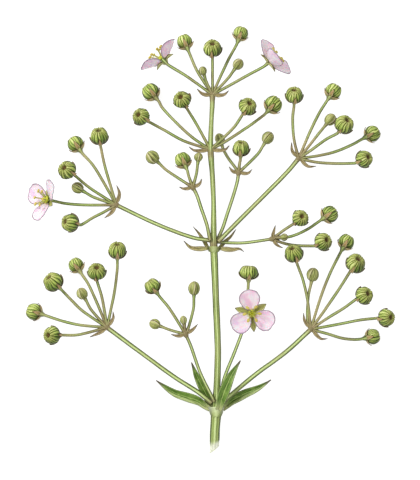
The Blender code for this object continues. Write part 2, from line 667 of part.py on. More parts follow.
def main_stem(surface):
    """The stem from its slanting cut to the top umbel, with its two uppermost whorls."""
    frames = frames_along([Vector(row[:3]) for row in STEM])
    rings = [ring(frame, STEM_SIDES, row[3]) for frame, row in zip(frames, STEM)]
    for point in rings[0]:
        point.y += CUT_SLANT * (point.x - STEM[0][0])
    meshes = [loft(rings)] + umbel_meshes(THIRD_WHORL) + umbel_meshes(TOP)
    return solid("main_stem", meshes, surface)


def side_branch(branch, surface):
    """A stalk from the stem to its umbel."""
    points = [Vector(point) for point in branch.stalk] + [Vector(branch.umbel.node)]
    frames = frames_along(curve_through(points, STALK_SPANS))
    stalk = loft([ring(frame, STALK_SIDES, branch.radius) for frame in frames])
    return solid("branch_" + branch.umbel.name, [stalk] + umbel_meshes(branch.umbel), surface)


def bract_collar(collar, surface):
    """A low ring round the stem that the bracts of one whorl grow from."""
    low, high = -collar.height / 2, collar.height / 2
    place = Matrix.Translation(collar.centre) @ Matrix.Rotation(-pi / 2, 4, "X")
    bm = bmesh.new()
    corners = [(collar.inner, low), (collar.outer, low), (collar.outer, high), (collar.inner, high)]
    section = [bm.verts.new((x, 0.0, z)) for x, z in corners]
    edges = [bm.edges.new(pair) for pair in zip(section, section[1:] + section[:1])]
    bmesh.ops.spin(bm, geom=section + edges, cent=(0, 0, 0), axis=(0, 0, 1), angle=2 * pi,
                   steps=COLLAR_SIDES, use_merge=True)
    bmesh.ops.transform(bm, matrix=place, verts=bm.verts)
    meshes = [finished(bm)]
    for bract in collar.bracts:
        points = [Vector(point) for point in bract.points]
        meshes.append(blade(points, bract.width, LEAFY_BRACT_THICKNESS, LEAFY_BRACT_SPANS))
    return solid(collar.name, meshes, surface)


def heads_and_petals(umbel, head_surface, petal_surface):
    for n, fruit in enumerate(umbel.fruits, 1):
        solid(f"seed_head_{umbel.name}_{n}", [fruit_head(fruit)], head_surface)
    for flower in umbel.flowers:
        for k in range(3):
            body = solid(f"petal_{flower.name}_{k + 1}", [petal(flower, k)], petal_surface)
            wall = body.modifiers.new("Thickness", "SOLIDIFY")
            wall.thickness = PETAL_THICKNESS * MM
            wall.offset = 0.0


def build():
    clear_scene()
    stem_green = material("stem_green", (0.33, 0.42, 0.12), 0.55)
    head_green = material("head_green", (0.26, 0.42, 0.08), 0.5)
    petal_pink = material("petal_pink", (0.9, 0.74, 0.82), 0.8)
    leaf_green = material("leaf_green", (0.22, 0.36, 0.1), 0.55)
    bract_tan = material("bract_tan", (0.45, 0.38, 0.18), 0.6)
    main_stem(stem_green)
    for umbel in [TOP, THIRD_WHORL] + [branch.umbel for branch in BRANCHES]:
        heads_and_petals(umbel, head_green, petal_pink)
    for branch in BRANCHES:
        side_branch(branch, stem_green)
    for collar, surface in zip(COLLARS, (leaf_green, bract_tan)):
        bract_collar(collar, surface)


build()
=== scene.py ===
"""Narrow-leaved water plantain: a cut flowering stem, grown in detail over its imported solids.

The tables are in millimetres: +X to the right of the plant, +Y towards its tip and +Z up from the
surface that it lies on. Run as a script; the panel lists the same steps.
"""

import random
from collections import namedtuple
from math import atan2, cos, exp, pi, radians, sin, sqrt

import bmesh
import bpy
from mathutils import Matrix, Vector, noise


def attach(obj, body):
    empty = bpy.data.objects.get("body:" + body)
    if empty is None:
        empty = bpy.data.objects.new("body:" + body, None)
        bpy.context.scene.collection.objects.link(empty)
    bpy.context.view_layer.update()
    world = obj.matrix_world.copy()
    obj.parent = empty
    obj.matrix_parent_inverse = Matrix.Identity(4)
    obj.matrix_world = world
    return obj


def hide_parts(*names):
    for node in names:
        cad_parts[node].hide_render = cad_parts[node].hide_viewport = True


bl_info = {
    "name": "Water Plantain Stem",
    "version": (1, 0, 0),
    "blender": (4, 5, 0),
    "location": "3D Viewport > Sidebar > Plantain",
    "description": "Grows stalks, fruiting heads, buds, flowers and bracts of a water plantain",
    "category": "Add Mesh",
}

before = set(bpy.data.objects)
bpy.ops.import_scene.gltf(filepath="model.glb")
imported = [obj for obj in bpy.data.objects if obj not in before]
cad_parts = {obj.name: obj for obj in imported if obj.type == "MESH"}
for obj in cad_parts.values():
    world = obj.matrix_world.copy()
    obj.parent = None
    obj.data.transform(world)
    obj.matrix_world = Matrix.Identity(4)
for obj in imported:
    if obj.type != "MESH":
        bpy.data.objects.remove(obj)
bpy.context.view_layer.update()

MM = 0.001

# Shapes that follow the solids, in millimetres
CLEARANCE = 0.3
PEDICEL_LIFT = 1.6
NECK = 0.9
CUP_DEPTH = 0.5
FLOWER_FOOT = 1.0
SEPAL_ROOT = (0.1, 0.03, -0.5)
STAMEN_ROOT = (0.3, 0.0, 1.05)
STAMEN_TIP = (2.3, 0.0, 3.6)
PETAL_FOOT = 0.8
PETAL_CUP = 0.07
PETAL_NECK = 0.72
PETAL_SWELL = 0.42
CUT_SLANT = 0.83
HEAD_BASE = -0.86
REST_GAP = 0.05

# The last radius of a pedicel and how far it runs on, by what it carries
HEAD_SWELL = 0.92
BUD_SWELL, BUD_BEYOND = 0.6, 0.1
FLOWER_SWELL, FLOWER_BEYOND = 0.5, 0.3

# Ribs round a stalk
STEM_RIBS, BRANCH_RIBS, PEDICEL_RIBS, FOOT_RIBS = 9, 3, 3, 6

# How finely each form is grown: spans along it and sides round it
CURVE_STEPS = 12
STEM_SPANS, STEM_SIDES = 150, 54
BRANCH_SPANS, BRANCH_SIDES = 46, 24
PEDICEL_SPAN = 0.6
FOOT_SPANS, FOOT_SPAN = 16, 0.1
HEAD_SPANS = 28
ACHENE_SIDES = 6
REST_SPANS, REST_SIDES = 26, 36
HUG_SPANS = 60
BUD_SPANS, BUD_SEPAL_SIDES = 16, 14
PETAL_SPANS = 22
FILAMENT_SPANS, FILAMENT_SIDES = 8, 8
SEPAL_SPANS = 10
LEAFY_GRID, PAPERY_GRID = (12, 34), (8, 16)
COLLAR_SIDES = 48

# An edge sharper than this, in degrees, is shaded as an edge
SHARP_ANGLE = 70

# How steeply each kind of bract is folded along its midrib
LEAFY_FOLD, MIDDLE_FOLD, PAPERY_FOLD = 0.42, 0.35, 0.4

# How far each sheath runs down the stem, and its brown
LOWER_SHEATH, MIDDLE_SHEATH = (1.3, -0.35), (0.4, 0.3)

# The seam and its margins by the side of a bud's wrapped sepal, dark above 0 and cream below it
BUD_SEAMS = {0: 1.0, 1: 0.3, 4: 0.42, 8: 0.5, 12: -0.7, 13: -1.0}

# Rings of carpels: reach from the middle, height, what their number is divided by, and size
CARPEL_ROWS = ((0.8, 0.95, 1, 0.3), (0.42, 1.36, 2, 0.3))
CARPEL_LEAN = -0.55
DOME_HEIGHT = 0.75

# The y of the stem's brown forks
FORKS = (-1.0, 24.6, 40.4)

BUMP_STRENGTH = 0.6
PAPERY_MARGIN = (0.62, 0.52, 0.3)

# The stage, in metres, with the sensor in millimetres. A light is its name, place, size and power
FLOOR_REACH = 3.0
FLOOR_GAP = 0.0001
PLANT_HEIGHT = 0.006
SENSOR_WIDTH = 36.0
WORLD_LIGHT = 0.42
LIGHTS = (("key", (-0.42, 0.38, 0.6), 0.34, 5.0), ("fill", (0.6, -0.35, 0.6), 0.9, 2.0))

# A fruiting head's turned outline in head radii, (radius, height), from its base over the rim to the pit
HEAD_OUTLINE = (
    (0.0, -0.86), (0.33, -0.82), (0.66, -0.66), (0.9, -0.38), (1.0, -0.05), (0.96, 0.26),
    (0.82, 0.56), (0.63, 0.76), (0.47, 0.84), (0.33, 0.81), (0.24, 0.68), (0.13, 0.56), (0.0, 0.52),
)

# A bud's outline, (radius, height) in shares of its width and its length
BUD_OUTLINE = (
    (0.0, 0.0), (0.27, 0.03), (0.41, 0.2), (0.49, 0.42), (0.47, 0.62), (0.36, 0.82), (0.19, 0.95),
    (0.0, 1.0),
)

# Towards the upper left of the drawing, where it is lightest
SUN = Vector((-0.42, 0.42, 0.8)).normalized()

UP = Vector((0.0, 0.0, 1.0))

# The z of a fruit whose head rests on the surface
RESTING = None

Spot = namedtuple("Spot", "place grain tone")
Fruit = namedtuple("Fruit", "x y z size faces via flat", defaults=(1.0,))
Bud = namedtuple("Bud", "x y z size length via")
# A flower's petals are (turn, spread, roll) and its sepals (turn, spread, length). The turn goes round
# the way that the flower faces from its first petal, and the spread away from that way, in degrees.
Flower = namedtuple("Flower", "name x y z faces first_petal petals sepals via")
Bract = namedtuple("Bract", "width points")
Umbel = namedtuple("Umbel", "name node fruits buds flowers bracts", defaults=((), (), ()))
Branch = namedtuple("Branch", "radius stalk name node fruits buds flowers bracts", defaults=((), (), ()))
Collar = namedtuple("Collar", "name centre inner outer height bracts")

TOP = Umbel(
    "top", (0.7, 40.6, 8.0),
    fruits=[
        Fruit(-7.1, 55.5, 5.0, 4.4, (-0.35, 0.85, -0.4), [(-3.6, 47.3)]),
        Fruit(0.7, 53.5, 10.5, 5.1, (0.0, 0.69, 0.72), [(0.7, 46.0)]),
        Fruit(8.6, 57.9, RESTING, 4.2, (0.33, 0.9, -0.3), [(2.5, 44.8), (5.4, 51.0)]),
    ],
    buds=[
        Bud(-2.0, 47.3, 10.5, 2.1, 2.5, [(-1.1, 44.4)]),
        Bud(7.9, 49.2, 9.5, 2.8, 3.2, [(5.2, 45.4)]),
    ],
    flowers=[
        Flower("top_left", -13.0, 50.3, 7.6, (-0.7, 0.71, -0.1), (0.0, 0.0, -1.0),
               [(0, 86, 0), (109, 66, 9), (240, 70, -9)], [(64, 90, 3.6), (297, 90, 3.6), (0, 100, 3.6)],
               [(-6.7, 45.9)]),
        Flower("top_right", 16.5, 49.7, 8.4, (0.77, 0.636, 0.1), (0.0, 0.0, 1.0),
               [(0, 56, 0), (118, 62, 17), (242, 62, -17)], [(62, 86, 3.6), (180, 77, 3.6), (298, 86, 3.6)],
               [(4.3, 42.6), (11.5, 46.6)]),
    ],
    bracts=[
        Bract(1.1, [(0.2, 40.5, 8.3), (-2.0, 40.8, 8.8), (-3.7, 42.3, 8.9)]),
        Bract(1.1, [(1.2, 40.5, 8.3), (3.8, 40.6, 8.8), (5.3, 41.8, 8.9)]),
    ],
)

THIRD_WHORL = Umbel(
    "third_whorl", (0.1, 25.3, 8.0),
    fruits=[
        Fruit(-16.6, 41.5, RESTING, 4.9, (-0.6, 0.7, -0.4), [(-4.8, 28.6), (-9.2, 32.6), (-13.4, 37.1)]),
        Fruit(-7.8, 39.1, 12.5, 5.0, (-0.24, 0.44, 0.87), [(-3.9, 32.6)]),
        Fruit(-19.2, 34.4, 12.0, 4.9, (-0.46, 0.3, 0.84), [(-7.3, 27.7), (-12.4, 30.5)]),
        Fruit(10.5, 37.2, 12.5, 5.0, (0.32, 0.49, 0.81), [(6.6, 31.4)]),
        Fruit(17.7, 37.9, 5.0, 5.0, (0.6, 0.7, -0.4), [(3.9, 27.3), (11.1, 32.0)]),
    ],
    bracts=[
        Bract(1.1, [(-0.4, 25.1, 8.3), (-4.2, 25.0, 8.9), (-6.0, 26.1, 9.1)]),
        Bract(1.1, [(0.6, 25.1, 8.3), (4.1, 25.2, 8.9), (5.4, 26.4, 9.1)]),
    ],
)

# The stem's centre line with its radius, from the cut end to the top umbel
STEM = [
    (1.2, -58.8, 1.3, 1.3),
    (1.4, -53.5, 2.1, 1.3),
    (1.7, -48.4, 2.95, 1.4),
    (1.85, -46.0, 3.25, 1.25),
    (1.96, -41.4, 3.8, 0.93),
    (2.2, -30.8, 4.8, 0.87),
    (1.65, -16.8, 5.9, 0.9),
    (1.2, -5.0, 6.8, 0.97),
    (1.0, -0.8, 7.0, 1.05),
    (1.0, 2.2, 7.1, 0.8),
    (0.98, 11.2, 7.4, 0.64),
    (0.6, 19.0, 7.8, 0.68),
    (0.2, 24.2, 8.0, 0.84),
    (0.15, 27.0, 8.0, 0.68),
    (0.4, 33.6, 8.0, 0.6),
    (0.64, 38.1, 8.0, 0.66),
    (0.7, 40.6, 8.0, 0.8),
]

# Each branch with its radius and the points of its stalk before its umbel
BRANCHES = [
    Branch(
        0.56, [(-0.7, 0.0, 7.1), (-4.5, 0.6, 7.2), (-10.1, 2.5, 7.5), (-16.4, 5.1, 7.9)],
        "upper_left", (-26.2, 9.8, 8.5),
        fruits=[
            Fruit(-30.9, 29.0, 12.0, 5.0, (-0.1, 0.8, 0.55), [(-27.7, 14.8), (-29.4, 20.7)]),
            Fruit(-37.7, 26.9, RESTING, 4.6, (-0.55, 0.75, -0.4), [(-29.7, 16.0), (-32.8, 21.0)]),
            Fruit(-39.8, 19.5, 13.5, 5.2, (-0.47, 0.33, 0.82), [(-29.7, 12.0), (-33.9, 14.8)]),
            Fruit(-39.0, 4.8, 12.0, 5.0, (-0.75, 0.15, 0.6), [(-29.7, 7.8), (-32.8, 6.2)]),
        ],
        buds=[Bud(-37.1, 14.6, 9.0, 3.0, 3.4, [(-32.6, 12.0)])],
        flowers=[
            Flower("upper_left", -45.2, 11.2, 9.6, (-0.8, 0.16, 0.58), (-0.75, 0.49, -0.43),
                   [(8, 64, 0), (114, 64, 0), (250, 67, 0)],
                   [(60, 74, 3.6), (180, 74, 3.6), (300, 74, 3.6)], [(-35.0, 9.8), (-40.3, 10.2)]),
        ],
        bracts=[
            Bract(1.1, [(-26.2, 10.2, 8.6), (-25.3, 12.9, 9.2), (-26.1, 15.3, 9.3)]),
            Bract(1.1, [(-26.4, 9.4, 8.6), (-27.7, 7.5, 9.0), (-29.6, 6.1, 9.0)]),
        ],
    ),
    Branch(
        0.49, [(-0.15, 0.8, 8.5), (-0.9, 4.3, 8.8), (-2.4, 8.7, 9.2), (-3.7, 12.6, 9.7)],
        "upper_left_inner", (-4.8, 14.7, 10.0),
        fruits=[Fruit(-7.6, 22.3, 8.5, 4.6, (-0.35, 0.8, -0.45), [(-6.0, 18.0)])],
        buds=[
            Bud(-16.1, 23.2, 11.0, 3.6, 3.9, [(-9.5, 17.7), (-12.4, 19.7)]),
            Bud(-3.2, 23.2, 12.0, 2.3, 2.5, [(-3.8, 18.5)]),
        ],
        bracts=[
            Bract(1.0, [(-5.2, 14.6, 10.1), (-7.2, 14.3, 10.5), (-8.6, 14.8, 10.5)]),
            Bract(1.0, [(-4.4, 14.8, 10.1), (-2.9, 15.7, 10.5), (-2.3, 17.1, 10.5)]),
        ],
    ),
    Branch(
        0.48, [(2.5, 1.0, 5.7), (3.6, 3.5, 5.5), (5.0, 7.8, 5.2), (6.4, 12.0, 5.0), (7.6, 16.2, 5.0)],
        "upper_right_inner", (8.0, 18.8, 5.0),
        fruits=[Fruit(8.7, 25.7, 6.5, 4.6, (0.05, 0.9, 0.45), [(8.3, 21.5)])],
        buds=[
            Bud(2.7, 28.4, 4.0, 2.6, 3.2, [(7.0, 20.4), (5.2, 22.8), (3.8, 25.2)]),
            Bud(16.3, 28.7, 4.4, 3.2, 3.6, [(13.4, 24.1)]),
        ],
        bracts=[
            Bract(1.0, [(7.6, 18.9, 5.2), (6.3, 19.3, 5.6), (5.4, 20.5, 5.7)]),
            Bract(1.0, [(8.4, 18.8, 5.2), (10.6, 18.7, 5.6), (11.8, 19.8, 5.7)]),
        ],
    ),
    Branch(
        0.62, [(2.95, 0.2, 7.6), (7.5, 4.8, 7.9), (15.0, 12.3, 8.2), (21.6, 19.0, 8.4)],
        "upper_right", (24.8, 22.8, 8.5),
        fruits=[
            Fruit(23.5, 40.4, 12.0, 4.8, (0.0, 0.78, 0.62), [(23.5, 28.1), (23.1, 33.9)]),
            Fruit(34.5, 41.6, 6.0, 4.6, (0.5, 0.75, -0.4), [(27.9, 30.1), (30.6, 35.6)]),
            Fruit(37.4, 32.2, 13.0, 5.3, (0.45, 0.6, 0.66), [(28.4, 25.2), (32.4, 28.1)]),
            Fruit(45.5, 29.8, RESTING, 4.6, (0.85, 0.45, -0.35),
                  [(30.4, 23.6), (35.3, 24.8), (40.2, 26.9)]),
            Fruit(43.0, 22.6, 12.0, 4.8, (0.65, 0.3, 0.7), [(29.4, 21.8), (34.3, 21.4)]),
        ],
        buds=[Bud(33.7, 33.8, 7.0, 3.1, 3.5, [(28.0, 26.7), (30.6, 30.0)])],
        bracts=[
            Bract(1.0, [(24.5, 23.2, 8.7), (23.0, 24.9, 9.2), (22.8, 27.3, 9.3)]),
            Bract(1.0, [(25.3, 22.5, 8.7), (27.4, 20.6, 9.1), (29.7, 20.6, 9.2)]),
        ],
    ),
    Branch(
        0.43, [(2.75, -0.6, 6.2), (5.5, -0.8, 6.2), (9.4, -0.8, 6.3), (13.5, -0.3, 6.4)],
        "right", (17.4, 0.3, 6.5),
        fruits=[
            Fruit(25.2, 6.1, 11.0, 4.8, (0.3, 0.3, 0.91), [(20.6, 2.7)]),
            Fruit(33.5, 7.2, 4.5, 4.8, (0.75, 0.5, -0.4), [(22.6, 1.0), (27.1, 2.9)]),
            Fruit(31.6, -0.5, 10.0, 5.0, (0.55, 0.3, 0.78), [(20.6, -0.9), (23.8, -1.5)]),
        ],
        buds=[Bud(20.8, 0.8, 9.0, 2.0, 2.1, [(18.6, 0.7)])],
        bracts=[
            Bract(0.9, [(17.4, 0.6, 6.7), (17.8, 2.2, 7.2), (18.3, 4.1, 7.3)]),
            Bract(0.9, [(17.6, 0.0, 6.7), (18.9, -1.5, 7.2), (20.4, -2.2, 7.3)]),
        ],
    ),
    Branch(
        0.62, [(-0.25, -45.1, 3.45), (-3.4, -42.6, 3.8), (-10.1, -38.3, 4.3), (-19.4, -31.5, 5.2)],
        "lower_left", (-28.8, -24.5, 6.5),
        fruits=[
            Fruit(-49.3, -20.1, RESTING, 4.7, (-0.9, 0.3, -0.3), [(-36.5, -23.8), (-41.4, -22.7)]),
            Fruit(-44.1, -26.6, 10.5, 5.0, (-0.6, 0.0, 0.8), [(-34.5, -26.0), (-37.5, -26.6)]),
            Fruit(-43.8, -11.7, 9.5, 5.4, (-0.6, 0.6, 0.5), [(-35.6, -19.9), (-39.1, -16.5)]),
            Fruit(-37.6, -7.1, RESTING, 4.3, (-0.5, 0.75, -0.4), [(-32.0, -16.8), (-34.3, -12.0)]),
            Fruit(-31.6, -8.9, 11.5, 5.1, (0.0, 0.65, 0.76), [(-30.2, -16.2)]),
            Fruit(-25.9, -2.9, 10.0, 5.0, (0.0, 0.85, 0.5),
                  [(-27.9, -20.2), (-26.7, -14.3), (-26.0, -8.8)]),
        ],
        buds=[Bud(-35.8, -14.9, 7.5, 3.0, 3.3, [(-33.2, -19.6)])],
        bracts=[
            Bract(1.0, [(-28.5, -24.1, 6.7), (-27.1, -21.9, 7.2), (-27.1, -20.0, 7.3)]),
            Bract(1.0, [(-29.1, -24.8, 6.7), (-30.8, -25.9, 6.6), (-33.7, -27.2, 6.5)]),
        ],
    ),
    Branch(
        0.46, [(0.85, -44.5, 5.0), (-2.6, -37.5, 6.2), (-5.5, -29.3, 8.3)],
        "lower_left_inner", (-6.8, -26.4, 9.0),
        fruits=[Fruit(-16.1, -12.9, 10.0, 4.3, (-0.55, 0.8, 0.2), [(-9.0, -22.8), (-11.6, -18.8)])],
        buds=[
            Bud(-4.4, -13.4, 11.0, 3.1, 3.9, [(-5.9, -24.1), (-4.6, -19.0)]),
            Bud(-15.5, -23.5, 9.0, 2.8, 3.1, [(-11.0, -25.2)]),
            Bud(-7.4, -22.3, 10.5, 1.9, 2.4, [(-7.1, -24.4)]),
        ],
        bracts=[
            Bract(1.0, [(-7.2, -26.5, 9.1), (-9.0, -26.8, 9.5), (-10.9, -26.4, 9.5)]),
            Bract(1.0, [(-6.4, -26.1, 9.1), (-4.8, -25.0, 9.5), (-3.4, -23.5, 9.5)]),
        ],
    ),
    Branch(
        0.46, [(3.25, -44.1, 4.8), (3.8, -39.4, 5.2), (7.0, -31.1, 6.3), (8.9, -26.0, 7.2)],
        "lower_right_inner", (10.1, -21.8, 8.0),
        fruits=[Fruit(10.9, -9.1, 5.5, 5.3, (0.05, 0.98, 0.1), [(10.4, -16.5)], 0.8)],
        flowers=[
            Flower("lower_right", 11.7, -20.5, 11.6, (0.02, -0.03, 1.0), (-0.172, 0.985, 0.0),
                   [(0, 76, 0), (120, 80, 0), (233, 80, 0)],
                   [(63, 93, 5.0), (177, 93, 5.3), (293, 93, 4.9)], [(11.0, -21.0)]),
        ],
    ),
    Branch(
        0.64, [(3.95, -45.2, 3.55), (6.4, -43.0, 3.9), (12.6, -37.8, 4.5), (21.2, -31.4, 5.8)],
        "lower_right", (28.2, -25.0, 7.0),
        fruits=[
            Fruit(23.4, -3.8, 12.0, 5.2, (-0.25, 0.75, 0.6), [(27.3, -17.0), (26.0, -11.2)]),
            Fruit(38.2, -0.6, 4.0, 4.5, (0.45, 0.8, -0.4), [(31.2, -15.4), (33.9, -8.7)]),
            Fruit(40.6, -6.6, 12.5, 5.5, (0.4, 0.62, 0.67), [(32.1, -19.6), (36.1, -13.7)]),
            Fruit(43.0, -15.5, 11.5, 5.0, (0.6, 0.3, 0.75), [(33.0, -21.8), (37.5, -19.0)]),
            Fruit(49.2, -21.7, 10.0, 4.9, (0.7, 0.05, 0.7), [(36.3, -23.5), (41.9, -22.4)]),
            Fruit(45.6, -27.1, RESTING, 4.4, (0.95, 0.2, -0.3),
                  [(33.0, -26.3), (37.0, -27.5), (40.2, -27.9)]),
        ],
        buds=[Bud(28.8, -9.6, 8.0, 3.4, 3.8, [(27.3, -22.6), (27.5, -15.9)])],
        bracts=[
            Bract(1.0, [(27.9, -24.6, 7.2), (26.4, -22.4, 7.7), (26.2, -20.4, 7.8)]),
            Bract(1.0, [(28.7, -25.4, 7.2), (31.0, -27.6, 7.4), (32.9, -27.6, 7.4)]),
        ],
    ),
]

COLLARS = [
    Collar(
        "lower_bracts", (1.75, -47.4, 3.07), 1.78, 2.2, 1.1,
        [
            Bract(2.6, [(0.05, -47.4, 2.1), (-1.2, -46.7, 1.8), (-3.2, -45.2, 1.9), (-6.3, -44.1, 2.1),
                        (-9.7, -43.0, 2.3), (-12.5, -41.3, 2.6), (-15.1, -39.4, 3.2)]),
            Bract(2.5, [(0.75, -47.4, 1.4), (0.2, -46.3, 1.1), (-0.6, -44.4, 1.8), (-2.0, -41.5, 2.7),
                        (-3.8, -38.0, 3.5), (-5.2, -34.3, 4.5)]),
            Bract(3.0, [(2.45, -47.4, 4.9), (2.8, -46.5, 5.8), (3.3, -44.5, 6.5), (4.3, -41.7, 7.0),
                        (6.0, -37.9, 7.3), (8.5, -33.7, 7.0)]),
            Bract(2.6, [(3.45, -47.4, 2.1), (4.5, -46.6, 1.8), (6.5, -44.9, 2.0), (9.6, -43.2, 2.3),
                        (13.5, -41.5, 2.8), (17.1, -39.2, 3.6)]),
        ],
    ),
    Collar(
        "middle_bracts", (1.1, -2.35, 6.92), 1.45, 1.85, 0.9,
        [
            Bract(1.1, [(0.1, -2.35, 5.6), (-0.7, -1.9, 5.1), (-1.6, -0.3, 5.2), (-3.2, 2.0, 5.8),
                        (-4.8, 3.8, 6.5)]),
            Bract(1.4, [(-0.55, -2.35, 7.1), (-1.6, -2.4, 7.2), (-4.1, -2.4, 7.3), (-5.7, -1.9, 7.2),
                        (-7.4, -0.2, 7.0)]),
            Bract(1.4, [(2.75, -2.35, 7.1), (3.7, -2.5, 7.2), (6.2, -2.7, 7.1), (8.3, -2.5, 7.0),
                        (9.5, -3.3, 6.9)]),
            Bract(1.1, [(2.1, -2.35, 5.6), (2.9, -1.9, 5.1), (4.0, -0.6, 5.1), (5.8, 1.0, 5.4),
                        (7.3, 3.1, 5.8)]),
        ],
    ),
]


# Settings that a user would change

class PlantainStalkSettings(bpy.types.PropertyGroup):
    """Sizes and colours of the stem, its branches and its pedicels."""

    pedicel_radius: bpy.props.FloatProperty(
        name="Pedicel radius", description="Half the thickness of each stalk in an umbel",
        default=0.00042, min=0.0002, max=0.0008, subtype="DISTANCE", unit="LENGTH")
    pedicel_base: bpy.props.FloatProperty(
        name="Pedicel base radius", description="Half the thickness where a pedicel leaves its knot",
        default=0.0005, min=0.0002, max=0.0009, subtype="DISTANCE", unit="LENGTH")
    knot_radius: bpy.props.FloatProperty(
        name="Knot radius", description="Size of the swelling that an umbel grows from",
        default=0.0009, min=0.0004, max=0.0012, subtype="DISTANCE", unit="LENGTH")
    rib_depth: bpy.props.FloatProperty(
        name="Rib depth", description="Depth of the furrows along a stalk, as a share of its radius",
        default=0.07, min=0.0, max=0.2, subtype="FACTOR")
    green: bpy.props.FloatVectorProperty(
        name="Rib green", description="Colour along the ribs of a stalk", subtype="COLOR",
        size=3, min=0.0, max=1.0, default=(0.37, 0.48, 0.13))
    furrow_and_flank_shade: bpy.props.FloatVectorProperty(
        name="Furrow green", description="Colour in the furrows of a stalk", subtype="COLOR",
        size=3, min=0.0, max=1.0, default=(0.08, 0.12, 0.025))
    knot_brown: bpy.props.FloatVectorProperty(
        name="Knot brown", description="Colour near the forks", subtype="COLOR",
        size=3, min=0.0, max=1.0, default=(0.25, 0.175, 0.085))
    cut_white: bpy.props.FloatVectorProperty(
        name="Cut white", description="Colour of the blanched end of the stem", subtype="COLOR",
        size=3, min=0.0, max=1.0, default=(0.86, 0.88, 0.7))


class PlantainHeadSettings(bpy.types.PropertyGroup):
    """Shape and colours of the fruiting heads with their dry sepals, and of the buds."""

    achenes: bpy.props.IntProperty(
        name="Achenes", description="Seeds in the ring of one fruiting head", default=18, min=8, max=30)
    ridge_depth: bpy.props.FloatProperty(
        name="Ridge depth", description="Depth of the groove between achenes, as a share of the radius",
        default=0.1, min=0.0, max=0.25, subtype="FACTOR")
    sepal_thickness: bpy.props.FloatProperty(
        name="Sepal thickness", description="Thickness of a dry sepal under a head",
        default=0.00014, min=0.00005, max=0.0003, subtype="DISTANCE", unit="LENGTH")
    ridge: bpy.props.FloatVectorProperty(
        name="Ridge green", description="Colour along the back of an achene", subtype="COLOR",
        size=3, min=0.0, max=1.0, default=(0.52, 0.62, 0.14))
    groove: bpy.props.FloatVectorProperty(
        name="Groove green", description="Colour between the achenes", subtype="COLOR",
        size=3, min=0.0, max=1.0, default=(0.055, 0.07, 0.014))
    pit: bpy.props.FloatVectorProperty(
        name="Pit brown", description="Colour in the middle of the crown", subtype="COLOR",
        size=3, min=0.0, max=1.0, default=(0.1, 0.06, 0.015))
    dry_sepal: bpy.props.FloatVectorProperty(
        name="Dry sepal", description="Colour in the middle of a dry sepal", subtype="COLOR",
        size=3, min=0.0, max=1.0, default=(0.42, 0.25, 0.1))
    bud_green: bpy.props.FloatVectorProperty(
        name="Bud green", description="Colour of a closed bud", subtype="COLOR",
        size=3, min=0.0, max=1.0, default=(0.46, 0.5, 0.14))


class PlantainFlowerSettings(bpy.types.PropertyGroup):
    """Sizes and colours of the open flowers."""

    petal_length: bpy.props.FloatProperty(
        name="Petal length", description="From the foot of a petal to its margin",
        default=0.0062, min=0.003, max=0.008, subtype="DISTANCE", unit="LENGTH")
    petal_width: bpy.props.FloatProperty(
        name="Petal width", description="Across the broadest part of a petal",
        default=0.0062, min=0.003, max=0.008, subtype="DISTANCE", unit="LENGTH")
    petal_thickness: bpy.props.FloatProperty(
        name="Petal thickness", description="Thickness of a petal",
        default=0.0002, min=0.00005, max=0.0004, subtype="DISTANCE", unit="LENGTH")
    sepal_thickness: bpy.props.FloatProperty(
        name="Sepal thickness", description="Thickness of the sepals behind the petals",
        default=0.00018, min=0.00005, max=0.0004, subtype="DISTANCE", unit="LENGTH")
    stamens: bpy.props.IntProperty(
        name="Stamens", description="Stamens in one flower", default=6, min=3, max=12)
    carpels: bpy.props.IntProperty(
        name="Carpels", description="Carpels in the ring of one flower", default=15, min=6, max=24)
    petal: bpy.props.FloatVectorProperty(
        name="Petal", description="Palest colour of a petal", subtype="COLOR",
        size=3, min=0.0, max=1.0, default=(0.85, 0.77, 0.81))
    blush: bpy.props.FloatVectorProperty(
        name="Blush", description="Pink of the deeper stains on a petal", subtype="COLOR",
        size=3, min=0.0, max=1.0, default=(0.82, 0.5, 0.66))
    anther: bpy.props.FloatVectorProperty(
        name="Anther", description="Colour of the anthers", subtype="COLOR",
        size=3, min=0.0, max=1.0, default=(0.66, 0.56, 0.12))
    carpel: bpy.props.FloatVectorProperty(
        name="Carpel", description="Colour of the carpels", subtype="COLOR",
        size=3, min=0.0, max=1.0, default=(0.64, 0.68, 0.07))


class PlantainBractSettings(bpy.types.PropertyGroup):
    """Sizes and colours of the bracts."""

    leafy_thickness: bpy.props.FloatProperty(
        name="Leafy bract thickness", description="Thickness of the green bracts of the lowest whorl",
        default=0.0003, min=0.0001, max=0.0006, subtype="DISTANCE", unit="LENGTH")
    papery_thickness: bpy.props.FloatProperty(
        name="Papery bract thickness", description="Thickness of the small dry bracts",
        default=0.00018, min=0.0001, max=0.0004, subtype="DISTANCE", unit="LENGTH")
    leafy: bpy.props.FloatVectorProperty(
        name="Leafy green", description="Colour of a green bract", subtype="COLOR",
        size=3, min=0.0, max=1.0, default=(0.18, 0.33, 0.045))
    midrib: bpy.props.FloatVectorProperty(
        name="Midrib", description="Colour of a green bract's midrib and margin", subtype="COLOR",
        size=3, min=0.0, max=1.0, default=(0.45, 0.58, 0.18))
    olive: bpy.props.FloatVectorProperty(
        name="Olive", description="Colour of the drying bracts of the second whorl", subtype="COLOR",
        size=3, min=0.0, max=1.0, default=(0.46, 0.4, 0.15))
    papery: bpy.props.FloatVectorProperty(
        name="Papery tan", description="Colour of a small dry bract", subtype="COLOR",
        size=3, min=0.0, max=1.0, default=(0.38, 0.29, 0.14))


